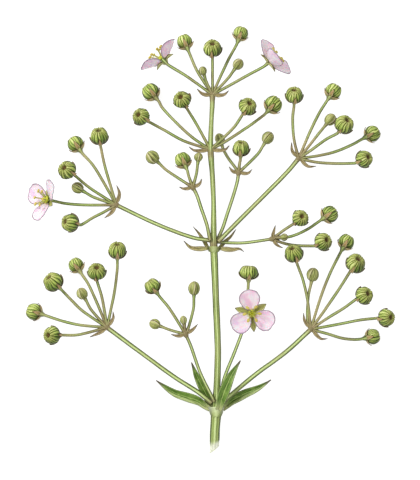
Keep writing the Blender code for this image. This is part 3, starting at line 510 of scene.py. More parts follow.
class PlantainStageSettings(bpy.types.PropertyGroup):
    """The floor, the lights and the camera."""

    lens: bpy.props.FloatProperty(
        name="Lens", description="Focal length of the camera, in millimetres", default=500.0,
        min=50.0, max=1000.0, unit="CAMERA")
    view_height: bpy.props.FloatProperty(
        name="View height", description="Length of the picture's long side on the surface",
        default=0.1344, min=0.05, max=0.5, subtype="DISTANCE", unit="LENGTH")
    glow: bpy.props.FloatProperty(
        name="Glow", default=0.88, min=0.0, max=2.0, subtype="FACTOR",
        description="Strength of the light that the pale floor gives off, as a light table does")
    light: bpy.props.FloatProperty(
        name="Light", description="Strength of the soft light from the upper left", default=1.0,
        min=0.0, max=5.0, subtype="FACTOR")


def setting(group):
    return getattr(bpy.context.scene, "plantain_" + group)


# Curves and frames, as in the solids

def polar(reach, angle, height=0.0):
    return Vector((reach * cos(angle), reach * sin(angle), height))


def runs_of(points):
    """How far along its path each of the points lies."""
    runs = [0.0]
    for a, b in zip(points, points[1:]):
        runs.append(runs[-1] + (b - a).length)
    return runs


def curve_through(points, spans):
    """Evenly spaced points along a smooth curve through the given ones."""
    steps = [(b - a).length for a, b in zip(points, points[1:])]
    slopes = [(points[1] - points[0]) / steps[0]]
    for i in range(1, len(points) - 1):
        slopes.append((points[i + 1] - points[i - 1]) / (steps[i - 1] + steps[i]))
    slopes.append((points[-1] - points[-2]) / steps[-1])
    fine = []
    for i, step in enumerate(steps):
        for k in range(CURVE_STEPS):
            t = k / CURVE_STEPS
            fine.append(
                points[i] * (2 * t**3 - 3 * t**2 + 1)
                + slopes[i] * step * (t**3 - 2 * t**2 + t)
                + points[i + 1] * (3 * t**2 - 2 * t**3)
                + slopes[i + 1] * step * (t**3 - t**2)
            )
    fine.append(points[-1])
    run = runs_of(fine)
    chosen = []
    at = 0
    for k in range(spans):
        wanted = run[-1] * k / spans
        while run[at + 1] < wanted:
            at += 1
        chosen.append(fine[at].lerp(fine[at + 1], (wanted - run[at]) / (run[at + 1] - run[at])))
    return chosen + [points[-1]]


def frames_along(points, up=UP):
    """A matrix at each point with Z along the curve and Y carried on from up with no twist."""
    frames = []
    for i, point in enumerate(points):
        ahead = points[min(i + 1, len(points) - 1)] - points[max(i - 1, 0)]
        z = ahead.normalized()
        y = (up - z * up.dot(z)).normalized()
        x = y.cross(z)
        placed = Matrix((x, y, z)).transposed().to_4x4()
        placed.translation = point
        frames.append(placed)
        up = y
    return frames


def frame_facing(point, direction, towards=Vector((0.0, 1.0, 0.0))):
    """A matrix at the point with Z along the direction and X turned to a second direction."""
    z = Vector(direction).normalized()
    x = Vector(towards) - z * z.dot(Vector(towards))
    x.normalize()
    placed = Matrix((x, z.cross(x), z)).transposed().to_4x4()
    placed.translation = point
    return placed


def lit_side(placed, normal, angle):
    """How far a turned body's surface faces up, and how far it faces the light at the upper left."""
    outward = placed.to_3x3() @ polar(normal.x, angle, normal.z)
    return outward.z, outward.dot(SUN)


def smooth(t):
    """A smooth step from 0 at 0 to 1 at 1."""
    t = min(1.0, max(0.0, t))
    return t * t * (3 - 2 * t)


def bell(offset, width):
    """1 in the middle, falling off on both sides."""
    return exp(-((offset / width) ** 2))


# Growing a closed mesh from rings of spots

def put(bm, vertex, spot):
    vertex.co = spot.place
    vertex[bm.verts.layers.float_vector["grain"]] = spot.grain
    vertex[bm.verts.layers.float_vector["tone"]] = spot.tone


def new_growth():
    bm = bmesh.new()
    bm.verts.layers.float_vector.new("grain")
    bm.verts.layers.float_vector.new("tone")
    return bm


def loop_edges(bm, loop):
    return [bm.edges.get((a, b)) for a, b in zip(loop, loop[1:] + loop[:1])]


def first_loop(bm, spots):
    loop = bmesh.ops.create_circle(bm, cap_ends=False, radius=1.0, segments=len(spots))["verts"]
    for vertex, spot in zip(loop, spots):
        put(bm, vertex, spot)
    return loop


def drawn_out(bm, loop, spots):
    """Extrudes a loop of vertices to new spots and returns the new loop in the same order."""
    geometry = bmesh.ops.extrude_edge_only(bm, edges=loop_edges(bm, loop))["geom"]
    fresh = {part for part in geometry if isinstance(part, bmesh.types.BMVert)}
    following = []
    for vertex, spot in zip(loop, spots):
        partner = next(e.other_vert(vertex) for e in vertex.link_edges if e.other_vert(vertex) in fresh)
        put(bm, partner, spot)
        following.append(partner)
    return following


def close_loop(bm, loop, spot):
    """Caps a loop flat, or draws it to a point."""
    if spot is None:
        bmesh.ops.contextual_create(bm, geom=loop_edges(bm, loop))
    else:
        last = drawn_out(bm, loop, [spot] * len(loop))
        bmesh.ops.pointmerge(bm, verts=last, merge_co=spot.place)


def loft(rings, start=None, end=None):
    """A closed mesh drawn through rings of spots, flat at each end or drawn to a point there."""
    bm = new_growth()
    loop = first_loop(bm, rings[0])
    close_loop(bm, loop, start)
    for spots in rings[1:]:
        loop = drawn_out(bm, loop, spots)
    close_loop(bm, loop, end)
    return grown(bm)


def sheet(across, along, spot_at):
    """An open sheet of spots, where spot_at takes a place across from -1 to 1 and along from 0 to 1."""
    bm = new_growth()
    bmesh.ops.create_grid(bm, x_segments=across, y_segments=along, size=1.0)
    for vertex in bm.verts:
        put(bm, vertex, spot_at(vertex.co.x, (vertex.co.y + 1) / 2))
    return grown(bm)


def ball(place, spot_at, subdivisions=2):
    """A closed round body whose points are moved by spot_at, which takes a direction."""
    bm = new_growth()
    bmesh.ops.create_icosphere(bm, subdivisions=subdivisions, radius=1.0)
    for vertex in bm.verts:
        spot = spot_at(vertex.co.copy())
        put(bm, vertex, Spot(place @ spot.place, spot.grain, spot.tone))
    return grown(bm)


def grown(bm):
    bmesh.ops.recalc_face_normals(bm, faces=bm.faces)
    mesh = bpy.data.meshes.new("growth")
    bm.to_mesh(mesh)
    bm.free()
    return mesh


def piece(name, growths, material, slot, *nodes, wall=None):
    """Joins growths into one object of the scene that stands for the given solids."""
    whole = bmesh.new()
    for growth in growths:
        whole.from_mesh(growth)
        bpy.data.meshes.remove(growth)
    bmesh.ops.scale(whole, vec=(MM, MM, MM), verts=whole.verts)
    mesh = bpy.data.meshes.new(name)
    whole.to_mesh(mesh)
    whole.free()
    mesh.shade_smooth()
    mesh.set_sharp_from_angle(angle=radians(SHARP_ANGLE))
    mesh.materials.append(material)
    made = bpy.data.objects.new(name, mesh)
    bpy.context.scene.collection.objects.link(made)
    if wall:
        solidify = made.modifiers.new("Thickness", "SOLIDIFY")
        solidify.thickness = wall
        solidify.offset = 0.0
    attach(made, "root")
    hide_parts(*nodes)
    return made


# Stalks

def stalk(path, radius_at, ribs, brown_at=None, sides=18, cut=0.0, pale=90, painted_highlight=0.4, warm=0.5):
    """A ribbed stalk along a path, with a painted highlight along one rib, whose angle from its left side
    is in degrees, and painted shade on its flanks.

    radius_at and brown_at take the run from its start and its length. Cut is the slant of its cut end,
    gleam is how strong the painted highlight is and warm is how tan the stalk is.
    """
    depth = setting("stalks").rib_depth
    run = runs_of(path)
    seed = Vector((path[0].x * 3.1, path[0].y * 2.7, path[-1].x * 1.9))
    hue = warm + 0.4 * noise.noise(seed)
    rings = []
    for placed, s in zip(frames_along(path), run):
        radius = radius_at(s, run[-1])
        brown = brown_at(s, run[-1]) if brown_at else 0.0
        spots = []
        for k in range(sides):
            angle = 2 * pi * k / sides
            ridge = cos(ribs * (angle - pi / 2))
            uneven = noise.noise(seed + polar(1.0, angle, s * 0.35)) * 0.05
            reach = radius * (1 + depth * (abs(ridge) ** 0.7 * (1 if ridge > 0 else -1)) + uneven)
            place = placed @ polar(reach, angle)
            if cut:
                place.y += cut * (place.x - path[0].x) * smooth(1 - s / 4.0)
            grain = polar(radius, angle, s) + seed
            # A painted highlight along the rib at the angle pale, and painted shade that darkens both
            # flanks; the ribs' own light and dark are real
            highlight_band = bell(angle - radians(pale), 0.5)
            flank_shade = abs(cos(angle)) ** 4
            light = (0.5 + 0.5 * ridge) * 0.75 * (1 - flank_shade) - 0.15 * flank_shade + painted_highlight * highlight_band
            spots.append(Spot(place, grain, Vector((light, brown, hue))))
        rings.append(spots)
    if cut:
        rings = [pith(rings[0], path[0], share, sink) for share, sink in ((0.5, 0.3), (0.86, 0.16))] + rings
    return loft(rings)


def pith(rim, middle, share, sink):
    """A ring inside the cut face, drawn in from its rim and sunk into the stem."""
    spots = []
    for spot in rim:
        place = middle.lerp(spot.place, share)
        place.y += sink
        spots.append(Spot(place, spot.grain * share, Vector((0.3, -1.0, spot.tone.z))))
    return spots


def pedicel_path(node, via, foot, axis, beyond):
    """The stalk's path: out along the plan points, curving up or down to what it carries."""
    plan = [node.xy] + [Vector(point) for point in via] + [foot.xy]
    run = runs_of(plan)
    path = [node]
    for point, reached in zip(plan[1:-1], run[1:-1]):
        rise = (foot.z - node.z) * (reached / run[-1]) ** PEDICEL_LIFT
        path.append(Vector((*point, node.z + rise)))
    path += [foot - axis * NECK, foot, foot + axis * beyond]
    return curve_through(path, max(8, round(runs_of(path)[-1] / PEDICEL_SPAN)))


def pedicel(node, via, foot, axis, swell, beyond):
    """One pedicel, browner at its base and swollen at its foot, where swell is its last radius."""
    stalks = setting("stalks")
    base = stalks.pedicel_base / MM
    middle = stalks.pedicel_radius / MM

    def radius_at(s, length):
        radius = base + (middle - base) * smooth(s / 3.0)
        return radius + (swell - middle) * smooth(1 - (length - s) / 1.4) ** 1.5

    def brown_at(s, _):
        patch = 0.45 * smooth(noise.noise(Vector((foot.x, foot.y, s * 0.16))) * 2.2)
        return min(1.0, exp(-s / 2.2) + patch)

    path = pedicel_path(node, via, foot, axis, beyond)
    # A faint painted highlight along the top rib, and painted shade on the flanks
    return stalk(path, radius_at, PEDICEL_RIBS, brown_at, painted_highlight=0.1, warm=1.45)


def knot(node, along):
    """The swelling that an umbel grows from."""
    radius = setting("stalks").knot_radius / MM

    def spot_at(direction):
        bump = 1 + 0.13 * noise.noise(direction * 2.3 + node)
        local = Vector((direction.x * 0.88, direction.y * 0.88, direction.z * 1.15)) * radius * bump
        return Spot(local, local + node, Vector((0.5 + 0.9 * (bump - 1), 0.9, 0.9)))

    return ball(frame_facing(node, along), spot_at, 3)


# Fruiting heads

def outline_points(outline, count):
    """A smooth outline with its outward normals, from its first point to its last."""
    path = curve_through([Vector((r, 0.0, h)) for r, h in outline], count)
    found = []
    for i, point in enumerate(path):
        ahead = (path[min(i + 1, count)] - path[max(i - 1, 0)]).normalized()
        found.append((point.x, point.z, Vector((ahead.z, 0.0, -ahead.x))))
    return found


def head_frame(fruit):
    """The head's frame. A resting head is lowered to just above the surface that the stem lies on."""
    placed = frame_facing((fruit.x, fruit.y, 0.0), fruit.faces)
    radius = fruit.size / 2
    if fruit.z is RESTING:
        lowest = 0.0
        for r, h, _ in outline_points(HEAD_OUTLINE, REST_SPANS):
            for k in range(REST_SIDES):
                point = placed @ polar(radius * r, 2 * pi * k / REST_SIDES, radius * h)
                lowest = min(lowest, point.z)
        placed.translation.z = REST_GAP - lowest
    else:
        placed.translation.z = fruit.z
    return placed


def fruiting_head(fruit, seed):
    """A ball of achenes, each a rounded ridge from the base over the rim into the pit."""
    heads = setting("heads")
    chance = random.Random(seed)
    placed = head_frame(fruit)
    radius = fruit.size / 2
    starts = []
    traits = []
    for i in range(heads.achenes):
        starts.append((i + chance.uniform(-0.3, 0.3)) * 2 * pi / heads.achenes)
        traits.append((chance.uniform(-1, 1), chance.uniform(-1, 1), chance.random()))
    starts.append(starts[0] + 2 * pi)
    outline = outline_points(HEAD_OUTLINE, HEAD_SPANS)
    rings = []
    for j, (r, h, normal) in enumerate(outline[1:-1], 1):
        v = j / HEAD_SPANS
        fade = min(1.0, r / 0.42)
        spots = []
        for i, (swell, lift, shade) in enumerate(traits):
            for k in range(ACHENE_SIDES):
                u = 2 * k / ACHENE_SIDES - 1
                angle = starts[i] + (starts[i + 1] - starts[i]) * k / ACHENE_SIDES
                angle += 0.2 * noise.noise(placed.translation + polar(1.0, angle, v * 2.4) * 1.6)
                ridge = 1 - abs(u) ** 2.6
                dent = 0.1 * bell(u, 0.2)
                out = heads.ridge_depth * fade * (ridge - dent - 1) + 0.025 * swell * fade
                lip = (0.05 * ridge + 0.03 * lift) * bell(v - 0.72, 0.1)
                height = h + normal.z * out + lip
                place = polar(r + normal.x * out, angle, height * fruit.flat) * radius
                grain = polar(3.0, angle, v * 1.6 + shade * 9)
                # Painted shade darkens the sides that face down, and painted light lightens the achenes that
                # face the upper left and darkens those turned from it
                facing, sunny = lit_side(placed, normal, angle)
                light = ridge * (0.85 + 0.3 * shade) - 0.8 * smooth((0.46 - facing) / 0.44)
                light += 0.6 * (max(0.0, sunny) - 0.72)
                spots.append(Spot(placed @ place, grain, Vector((light, v, shade))))
        rings.append(spots)
    ends = []
    for v, (_, h, _) in ((0.0, outline[0]), (1.0, outline[-1])):
        place = placed @ Vector((0.0, 0.0, h * fruit.flat * radius))
        ends.append(Spot(place, Vector((0.0, 0.0, h)), Vector((0.5, v, 0.5))))
    return loft(rings, *ends)


def dry_sepals(fruit, seed):
    """Three dry sepals that hug the base of a head, one of them on its upper side."""
    chance = random.Random(seed)
    placed = head_frame(fruit)
    radius = fruit.size / 2
    up = placed.to_3x3().inverted() @ UP
    first = atan2(up.y, up.x) if up.xy.length > 0.2 else 0.6
    outline = outline_points(HEAD_OUTLINE, HUG_SPANS)
    made = []
    for k in range(3):
        centre = first + (0.0, 1.85, -1.85)[k] + chance.uniform(-0.12, 0.12)
        length = chance.uniform(0.86, 1.08)
        reach = 25 if k else 25 + 14 * max(0.0, up.z)
        open_up = chance.uniform(0.0, 0.16)
        shade = chance.random()

        def spot_at(x, t):
            at = 2 + t * reach * length
            low = int(at)
            (r0, h0, n0), (r1, h1, n1) = outline[low], outline[low + 1]
            part = at - low
            r, h, normal = r0 + (r1 - r0) * part, h0 + (h1 - h0) * part, n0.lerp(n1, part)
            taper = 0.5 + 0.5 * smooth(t / 0.35) if t < 0.35 else 1.02 - ((t - 0.35) / 0.65) ** 1.5
            width = (1.3 if k else 0.6) * taper
            angle = centre + x * width / max(r * radius, 0.9)
            out = 0.05 + 0.08 * x * x + open_up * t**3 + 0.14 * smooth(t / 0.2) + 0.05 * cos(5 * x) * (1 - t)
            out /= radius
            place = polar(r + normal.x * out, angle, (h + normal.z * out) * fruit.flat) * radius
            grain = Vector((x * width, t * 3, shade * 7))
            return Spot(placed @ place, grain, Vector((abs(x), t, shade)))

        made.append(sheet(6, 9, spot_at))
    return made


# Buds

def bud_frame(node, bud):
    centre = Vector((bud.x, bud.y, bud.z))
    axis = (centre - Vector((*bud.via[-1], (node.z + bud.z) / 2))).normalized()
    return frame_facing(centre - axis * bud.length / 2, axis), axis


def closed_bud(node, bud, seed):
    """An oval bud wrapped in three sepals whose margins overlap."""
    chance = random.Random(seed)
    placed, _ = bud_frame(node, bud)
    turn = chance.uniform(0, 2 * pi)
    shade = chance.random()
    outline = outline_points(BUD_OUTLINE, BUD_SPANS)
    sides = 3 * BUD_SEPAL_SIDES
    rings = []
    for j, (r, h, normal) in enumerate(outline[1:-1], 1):
        t = j / BUD_SPANS
        spots = []
        for k in range(sides):
            angle = turn + 0.6 * t + 2 * pi * k / sides
            side = k % BUD_SEPAL_SIDES
            part = side / BUD_SEPAL_SIDES
            edge = smooth(part / 0.12) if part < 0.12 else 1.0
            out = 0.07 * (1 - part) * edge - 0.05 * (1 - edge) + 0.014 * cos(12 * angle)
            reach = (r + normal.x * out * min(1.0, r / 0.25)) * bud.size
            place = polar(reach, angle, h * bud.length)
            # Painted shade on the sides that face down or away from the upper left, and a painted highlight
            # where the bud faces the upper left
            facing, sunny = lit_side(placed, normal, angle)
            painted_shading = smooth((0.5 - facing) / 0.45) - 0.6 * (max(0.0, sunny) - 0.72)
            grain = polar(bud.size, angle, h + shade * 8)
            spots.append(Spot(placed @ place, grain, Vector((BUD_SEAMS.get(side, 0.0), t, painted_shading))))
        rings.append(spots)
    foot = Spot(placed.translation.copy(), Vector((0, 0, shade * 8)), Vector((0.0, 0.0, 0.5)))
    top = Spot(placed @ Vector((0, 0, bud.length)), Vector((0, 0, 1 + shade * 8)), Vector((0.8, 1.0, 0.2)))
    return loft(rings, foot, top)


# Flowers

def flower_frame(flower):
    return frame_facing((flower.x, flower.y, flower.z), flower.faces, flower.first_petal)


def petal(flower, k):
    """One broad petal with a ruffled margin and shallow folds along its veins."""
    flowers = setting("flowers")
    length, width = flowers.petal_length / MM, flowers.petal_width / MM
    chance = random.Random(f"{flower.name} {k}")
    shift = Vector((chance.uniform(0, 50), chance.uniform(0, 50), chance.uniform(0, 50)))
    notch = chance.uniform(-0.35, 0.35)
    stain = chance.random()
    turned, spread, roll = (radians(angle) for angle in flower.petals[k])
    lean = Matrix.Rotation(spread - pi / 2, 4, "Y") @ Matrix.Rotation(roll, 4, "X")
    place = (flower_frame(flower) @ Matrix.Rotation(turned, 4, "Z")
             @ Matrix.Translation((PETAL_FOOT, 0.0, 0.1)) @ lean)

    def spot_at(x, t):
        y = 2 * t - 1
        disc = Vector((y * sqrt(1 - x * x / 2), x * sqrt(1 - y * y / 2)))
        rim = min(1.0, disc.length)
        angle = atan2(disc.y, disc.x)
        uneven = 0.045 * noise.noise(shift + polar(1.0, angle) * 2.6)
        uneven += 0.016 * noise.noise(shift + polar(1.0, angle, 3.0) * 9)
        uneven -= 0.05 * bell(angle - notch, 0.16)
        disc *= 1 + uneven * rim**4
        along = (1 + disc.x) / 2
        across = disc.y * (PETAL_NECK + PETAL_SWELL * along) * width / 2
        fold = 0.05 * cos(9 * disc.y) * smooth(along) - 0.1 * bell(disc.y, 0.12) * along
        wave = 0.3 * rim**5 * along * noise.noise(shift + polar(1.0, angle, 9.0) * 1.9)
        point = Vector((along * length, across, PETAL_CUP * across**2 + fold + wave))
        grain = Vector((along * length, across / (0.3 + along), 0)) + shift
        return Spot(place @ point, grain, Vector((rim, along, stain)))

    return sheet(PETAL_SPANS, PETAL_SPANS, spot_at)


def flower_sepals(flower):
    """Three olive sepals behind the gaps between the petals, each keeled and drawn to a point."""
    placed = flower_frame(flower)
    root = Vector(SEPAL_ROOT)
    made = []
    for k, (turned, spread, length) in enumerate(flower.sepals):
        place = placed @ Matrix.Rotation(radians(turned), 4, "Z")
        lean = radians(spread)
        tip = length * Vector((sin(lean), 0.0, cos(lean))) + Vector((0.0, 0.0, root.z))
        path = curve_through([root, tip / 2 - Vector((0.0, 0.0, 0.16)), tip], SEPAL_SPANS)

        def spot_at(x, t):
            at = min(t * SEPAL_SPANS, SEPAL_SPANS - 0.001)
            centre = path[int(at)].lerp(path[int(at) + 1], at - int(at))
            if t < 0.35:
                width = 1.15 * (0.45 + 0.55 * smooth(t / 0.35))
            else:
                width = 1.15 * (1 - ((t - 0.35) / 0.65) ** 2) + 0.03
            across = x * width
            point = centre + Vector((0.0, across, 0.45 * across * across + 0.03 * cos(7 * x) * (1 - t)))
            return Spot(place @ point, Vector((across, t * 4, k * 5)), Vector((abs(x), t, k / 3)))

        made.append(sheet(8, 12, spot_at))
    return made


def stamens(flower):
    """Filaments that lean out round the carpels, and a two-lobed anther on each."""
    placed = flower_frame(flower)
    count = setting("flowers").stamens
    chance = random.Random(flower.name)
    filaments, anthers = [], []
    root, end = Vector(STAMEN_ROOT), Vector(STAMEN_TIP)
    top = root.lerp(end, 0.82)
    bent = curve_through([root, root.lerp(end, 0.4) + Vector((0.12, 0.0, -0.1)), top], FILAMENT_SPANS)
    facing = placed.to_3x3()
    for k in range(count):
        turned = placed @ Matrix.Rotation(2 * pi * (k + 0.4 + chance.uniform(-0.1, 0.1)) / count, 4, "Z")
        rings = []
        for n, ringed in enumerate(frames_along([turned @ point for point in bent], facing.col[2])):
            t = n / FILAMENT_SPANS
            spots = []
            for m in range(FILAMENT_SIDES):
                local = polar(0.2 - 0.05 * t, 2 * pi * m / FILAMENT_SIDES)
                grain = Vector((local.x, local.y, 2 * t))
                spots.append(Spot(ringed @ local, grain, Vector((0.0, t, k / count))))
            rings.append(spots)
        filaments.append(loft(rings))
        outward = (turned @ end) - (turned @ top)
        tilt = frame_facing(turned @ top, facing @ Vector((0.35, 0.0, 1.0)), outward)

        def spot_at(direction):
            lobe = 1 - 0.3 * bell(direction.y, 0.28)
            local = Vector((direction.x * 0.62, direction.y * 0.42 * lobe, direction.z * 0.34 * lobe))
            return Spot(local, local * 3 + Vector((k * 4, 0, 0)), Vector((lobe, 0.5, k / count)))

        anthers.append(ball(tilt @ Matrix.Translation((0.2, 0, 0.12)), spot_at, 3))
    return filaments, anthers


def carpels(flower):
    """A ring of small plump carpels on a low dome, with their styles leaning in."""
    placed = flower_frame(flower)
    count = setting("flowers").carpels

    def dome_at(direction):
        local = Vector((direction.x * 0.7, direction.y * 0.7, direction.z * 0.45))
        return Spot(local, local * 2, Vector((0.2, 0.5, 0.5)))

    made = [ball(placed @ Matrix.Translation((0, 0, DOME_HEIGHT)), dome_at)]
    for row, (reach, height, part, size) in enumerate(CARPEL_ROWS):
        number = count // part
        for k in range(number):
            turned = placed @ Matrix.Rotation(2 * pi * (k + 0.5 * row) / number, 4, "Z")
            seat = turned @ Matrix.Translation((reach, 0, height)) @ Matrix.Rotation(CARPEL_LEAN, 4, "Y")

            def spot_at(direction):
                beak = smooth((direction.z - 0.4) / 0.6)
                width, depth = 1 - 0.5 * beak, 0.62 * (1 - 0.6 * beak)
                local = Vector((direction.x * width, direction.y * depth, direction.z * 1.35))
                tone = Vector((1 - beak, beak, (k * 0.37) % 1))
                return Spot(local * size, local + Vector((k, row, 0)), tone)

            made.append(ball(seat, spot_at))
    return made


# Bracts

def bract_sheet(bract, fold, seed, leafy):
    """A bract folded along its midrib, with its margins rolled a little."""
    chance = random.Random(seed)
    sides, spans = LEAFY_GRID if leafy else PAPERY_GRID
    frames = frames_along(curve_through([Vector(point) for point in bract.points], spans))
    half = bract.width / 2
    shade = chance.random()
    widest = 0.36 if leafy else 0.26

    def spot_at(x, t):
        i = min(spans, round(t * spans))
        if t < widest:
            swell = 0.6 + 0.4 * smooth(t / widest)
        else:
            swell = 1.0 - 0.97 * ((t - widest) / (1 - widest)) ** (1.7 if leafy else 1.5)
        across = x * half * swell
        rib = 0.1 * bell(x, 0.13) * (1 - t)
        raised = fold * abs(across) - rib + 0.05 * half * noise.noise(Vector((x * 2, t * 6, shade * 20)))
        vein = 0.012 * cos(22 * x) if leafy else 0.02 * cos(13 * x)
        point = Vector((across, raised + vein * swell, 0.0))
        # The share of the half of the fold towards -Y, which a leafy bract paints paler: partly its paler
        # underside and partly painted light on that half
        lower = max(0.0, -frames[i].col[0].y * x)
        return Spot(frames[i] @ point, Vector((across, t * spans, shade * 9)), Vector((abs(x), t, lower)))

    return sheet(sides, spans, spot_at)


def bract_sheets(bracts, fold, name, leafy=False):
    return [bract_sheet(bract, fold, f"{name} {n}", leafy) for n, bract in enumerate(bracts)]


def collar_sleeve(collar, reach, brown):
    """The sheath round the stem that the bracts of a whorl grow from.

    It runs down the stem by reach, and brown is as in a stalk.
    """
    placed = Matrix.Translation(collar.centre) @ Matrix.Rotation(-pi / 2, 4, "X")
    inner, outer = collar.inner, collar.outer
    low, high = -collar.height / 2 - 0.25, collar.height / 2 + 0.1
    section = [
        (inner - 0.4, low - reach), (inner - 0.2, low - 0.7 * reach), (inner + 0.1, low - 0.1),
        (outer - 0.16, 0.1), (outer + 0.08, high - 0.2), (outer - 0.05, high),
        (inner - 0.1, high), (inner - 0.35, high - 0.3),
    ]
    rings = []
    for k in range(COLLAR_SIDES):
        angle = 2 * pi * k / COLLAR_SIDES
        swell = 1 + 0.03 * cos(4 * angle) + 0.03 * noise.noise(polar(1.0, angle, 1.0) * 2)
        # Painted shade darkens both flanks of the sheath, and a painted highlight runs along its top
        flank_shade = abs(cos(angle)) ** 4
        light = 0.6 - 0.75 * flank_shade + 0.5 * bell(angle - 1.5 * pi, 0.5)
        spots = []
        for n, (r, z) in enumerate(section):
            tone = Vector((light, brown * min(1.0, n / 3), 0.2))
            spots.append(Spot(placed @ polar(r * swell, angle, z), polar(r, angle, z), tone))
        rings.append(spots)
    bm = new_growth()
    first = loop = first_loop(bm, rings[0])
    for spots in rings[1:]:
        loop = drawn_out(bm, loop, spots)
    bmesh.ops.bridge_loops(bm, edges=loop_edges(bm, loop) + loop_edges(bm, first))
    return grown(bm)


# Surfaces

class Look:
    """A material that is painted in layers over the grain and the tones that every growth carries."""

    def __init__(self, name, roughness, specular=0.3):
        self.material = bpy.data.materials.new(name)
        self.material.use_nodes = True
        self.tree = self.material.node_tree
        self.shader = self.tree.nodes["Principled BSDF"]
        self.put("Roughness", roughness)
        self.put("Specular IOR Level", specular)
        self.colour = None

    def put(self, name, value):
        self.plug(self.shader.inputs[name], value)

    def plug(self, socket, value):
        """Links a node's output to the socket, or sets the socket to a number or a colour."""
        if isinstance(value, bpy.types.NodeSocket):
            self.tree.links.new(value, socket)
        elif isinstance(value, (int, float)):
            socket.default_value = value
        else:
            socket.default_value = (*value, 1.0)[:len(socket.default_value)]

    def node(self, kind, inputs, **traits):
        """A node with the given traits, and inputs by their names or numbers."""
        made = self.tree.nodes.new("ShaderNode" + kind)
        for name, value in traits.items():
            setattr(made, name, value)
        for key, value in inputs.items():
            self.plug(made.inputs[key], value)
        return made

    def carried(self, name):
        return self.node("Attribute", {}, attribute_type="GEOMETRY", attribute_name=name).outputs["Vector"]

    def tones(self):
        return tuple(self.node("SeparateXYZ", {0: self.carried("tone")}).outputs)

    def grain(self, stretch, detail=3.0, roughness=0.55):
        """Fibres: noise on the growth's own unbent coordinates, in millimetres."""
        mapping = self.node("Mapping", {"Scale": stretch, "Vector": self.carried("grain")})
        inputs = {"Scale": 1.0, "Detail": detail, "Roughness": roughness, "Vector": mapping.outputs[0]}
        return self.node("TexNoise", inputs).outputs["Fac"]

    def between(self, value, low, high, most=1.0):
        """The value as a smooth share from low, 0, to high, which gives the most. Low may be the greater."""
        ends = (low, high, 0.0, most) if low < high else (high, low, most, 0.0)
        inputs = dict(zip(("From Min", "From Max", "To Min", "To Max"), ends), Value=value)
        return self.node("MapRange", inputs, interpolation_type="SMOOTHSTEP").outputs["Result"]

    def reckon(self, operation, a, b):
        return self.node("Math", {0: a, 1: b}, operation=operation).outputs[0]

    def uneven(self, value, noise_value, depth):
        """The value, raised and lowered by half of the depth as the noise goes."""
        centred = self.reckon("SUBTRACT", noise_value, 0.5)
        return self.reckon("ADD", value, self.reckon("MULTIPLY", centred, depth))

    def mixed(self, share, a, b):
        return self.node("Mix", {0: share, 6: a, 7: b}, data_type="RGBA").outputs[2]

    def cover(self, share, colour):
        self.colour = self.mixed(share, self.colour, colour)

    def paint(self, value, low, high, colour, most=1.0):
        """Covers with a colour where the value lies towards high, as in between."""
        self.cover(self.between(value, low, high, most), colour)

    def finish(self, height, depth, rough_low, rough_high):
        """Colour, roughness that follows the height, and a bump of the given depth in millimetres."""
        self.put("Base Color", self.colour)
        rough = self.node("MapRange", {"Value": height, "To Min": rough_low, "To Max": rough_high})
        self.put("Roughness", rough.outputs["Result"])
        bump = self.node("Bump", {"Strength": BUMP_STRENGTH, "Distance": depth * MM, "Height": height})
        self.put("Normal", bump.outputs["Normal"])


def stalk_look(name):
    """Ribbed green stalk with fine fibres, tan stretches, brown forks, a blanched cut end, a painted
    highlight along one rib and painted shade on its flanks.
    """
    stalks = setting("stalks")
    painted_highlight, tan, pale_tan = (0.7, 0.84, 0.36), (0.34, 0.34, 0.13), (0.44, 0.37, 0.18)
    brown_hollow, brown_rib = (0.11, 0.08, 0.035), (0.44, 0.34, 0.19)
    look = Look(name, 0.5)
    light, brown, hue = look.tones()
    fibres = look.grain((3.4, 3.4, 0.2), 4.0, 0.62)
    patches = look.grain((0.35, 0.35, 0.14), 2.0)
    raised = look.uneven(light, fibres, 1.0)
    # The light tone carries a painted highlight along one rib and painted shade on the flanks: the furrow
    # colour paints that shade and the gleam colour the highlight
    look.colour = look.mixed(look.between(raised, 0.05, 0.8), stalks.furrow_and_flank_shade, stalks.green)
    look.paint(raised, 0.65, 1.15, painted_highlight)
    warmth = look.reckon("MULTIPLY", look.reckon("ADD", hue, 0.35), look.between(patches, 0.3, 0.8, 0.55))
    look.cover(warmth, look.mixed(look.between(patches, 0.35, 0.7), tan, pale_tan))
    browned = look.mixed(look.between(raised, 0.1, 0.9), brown_hollow, brown_rib)
    look.paint(brown, 0.02, 0.95, look.mixed(0.5, browned, stalks.knot_brown), 0.85)
    look.paint(brown, -0.05, -0.8, stalks.cut_white)
    look.finish(fibres, 0.06, 0.42, 0.62)
    return look.material


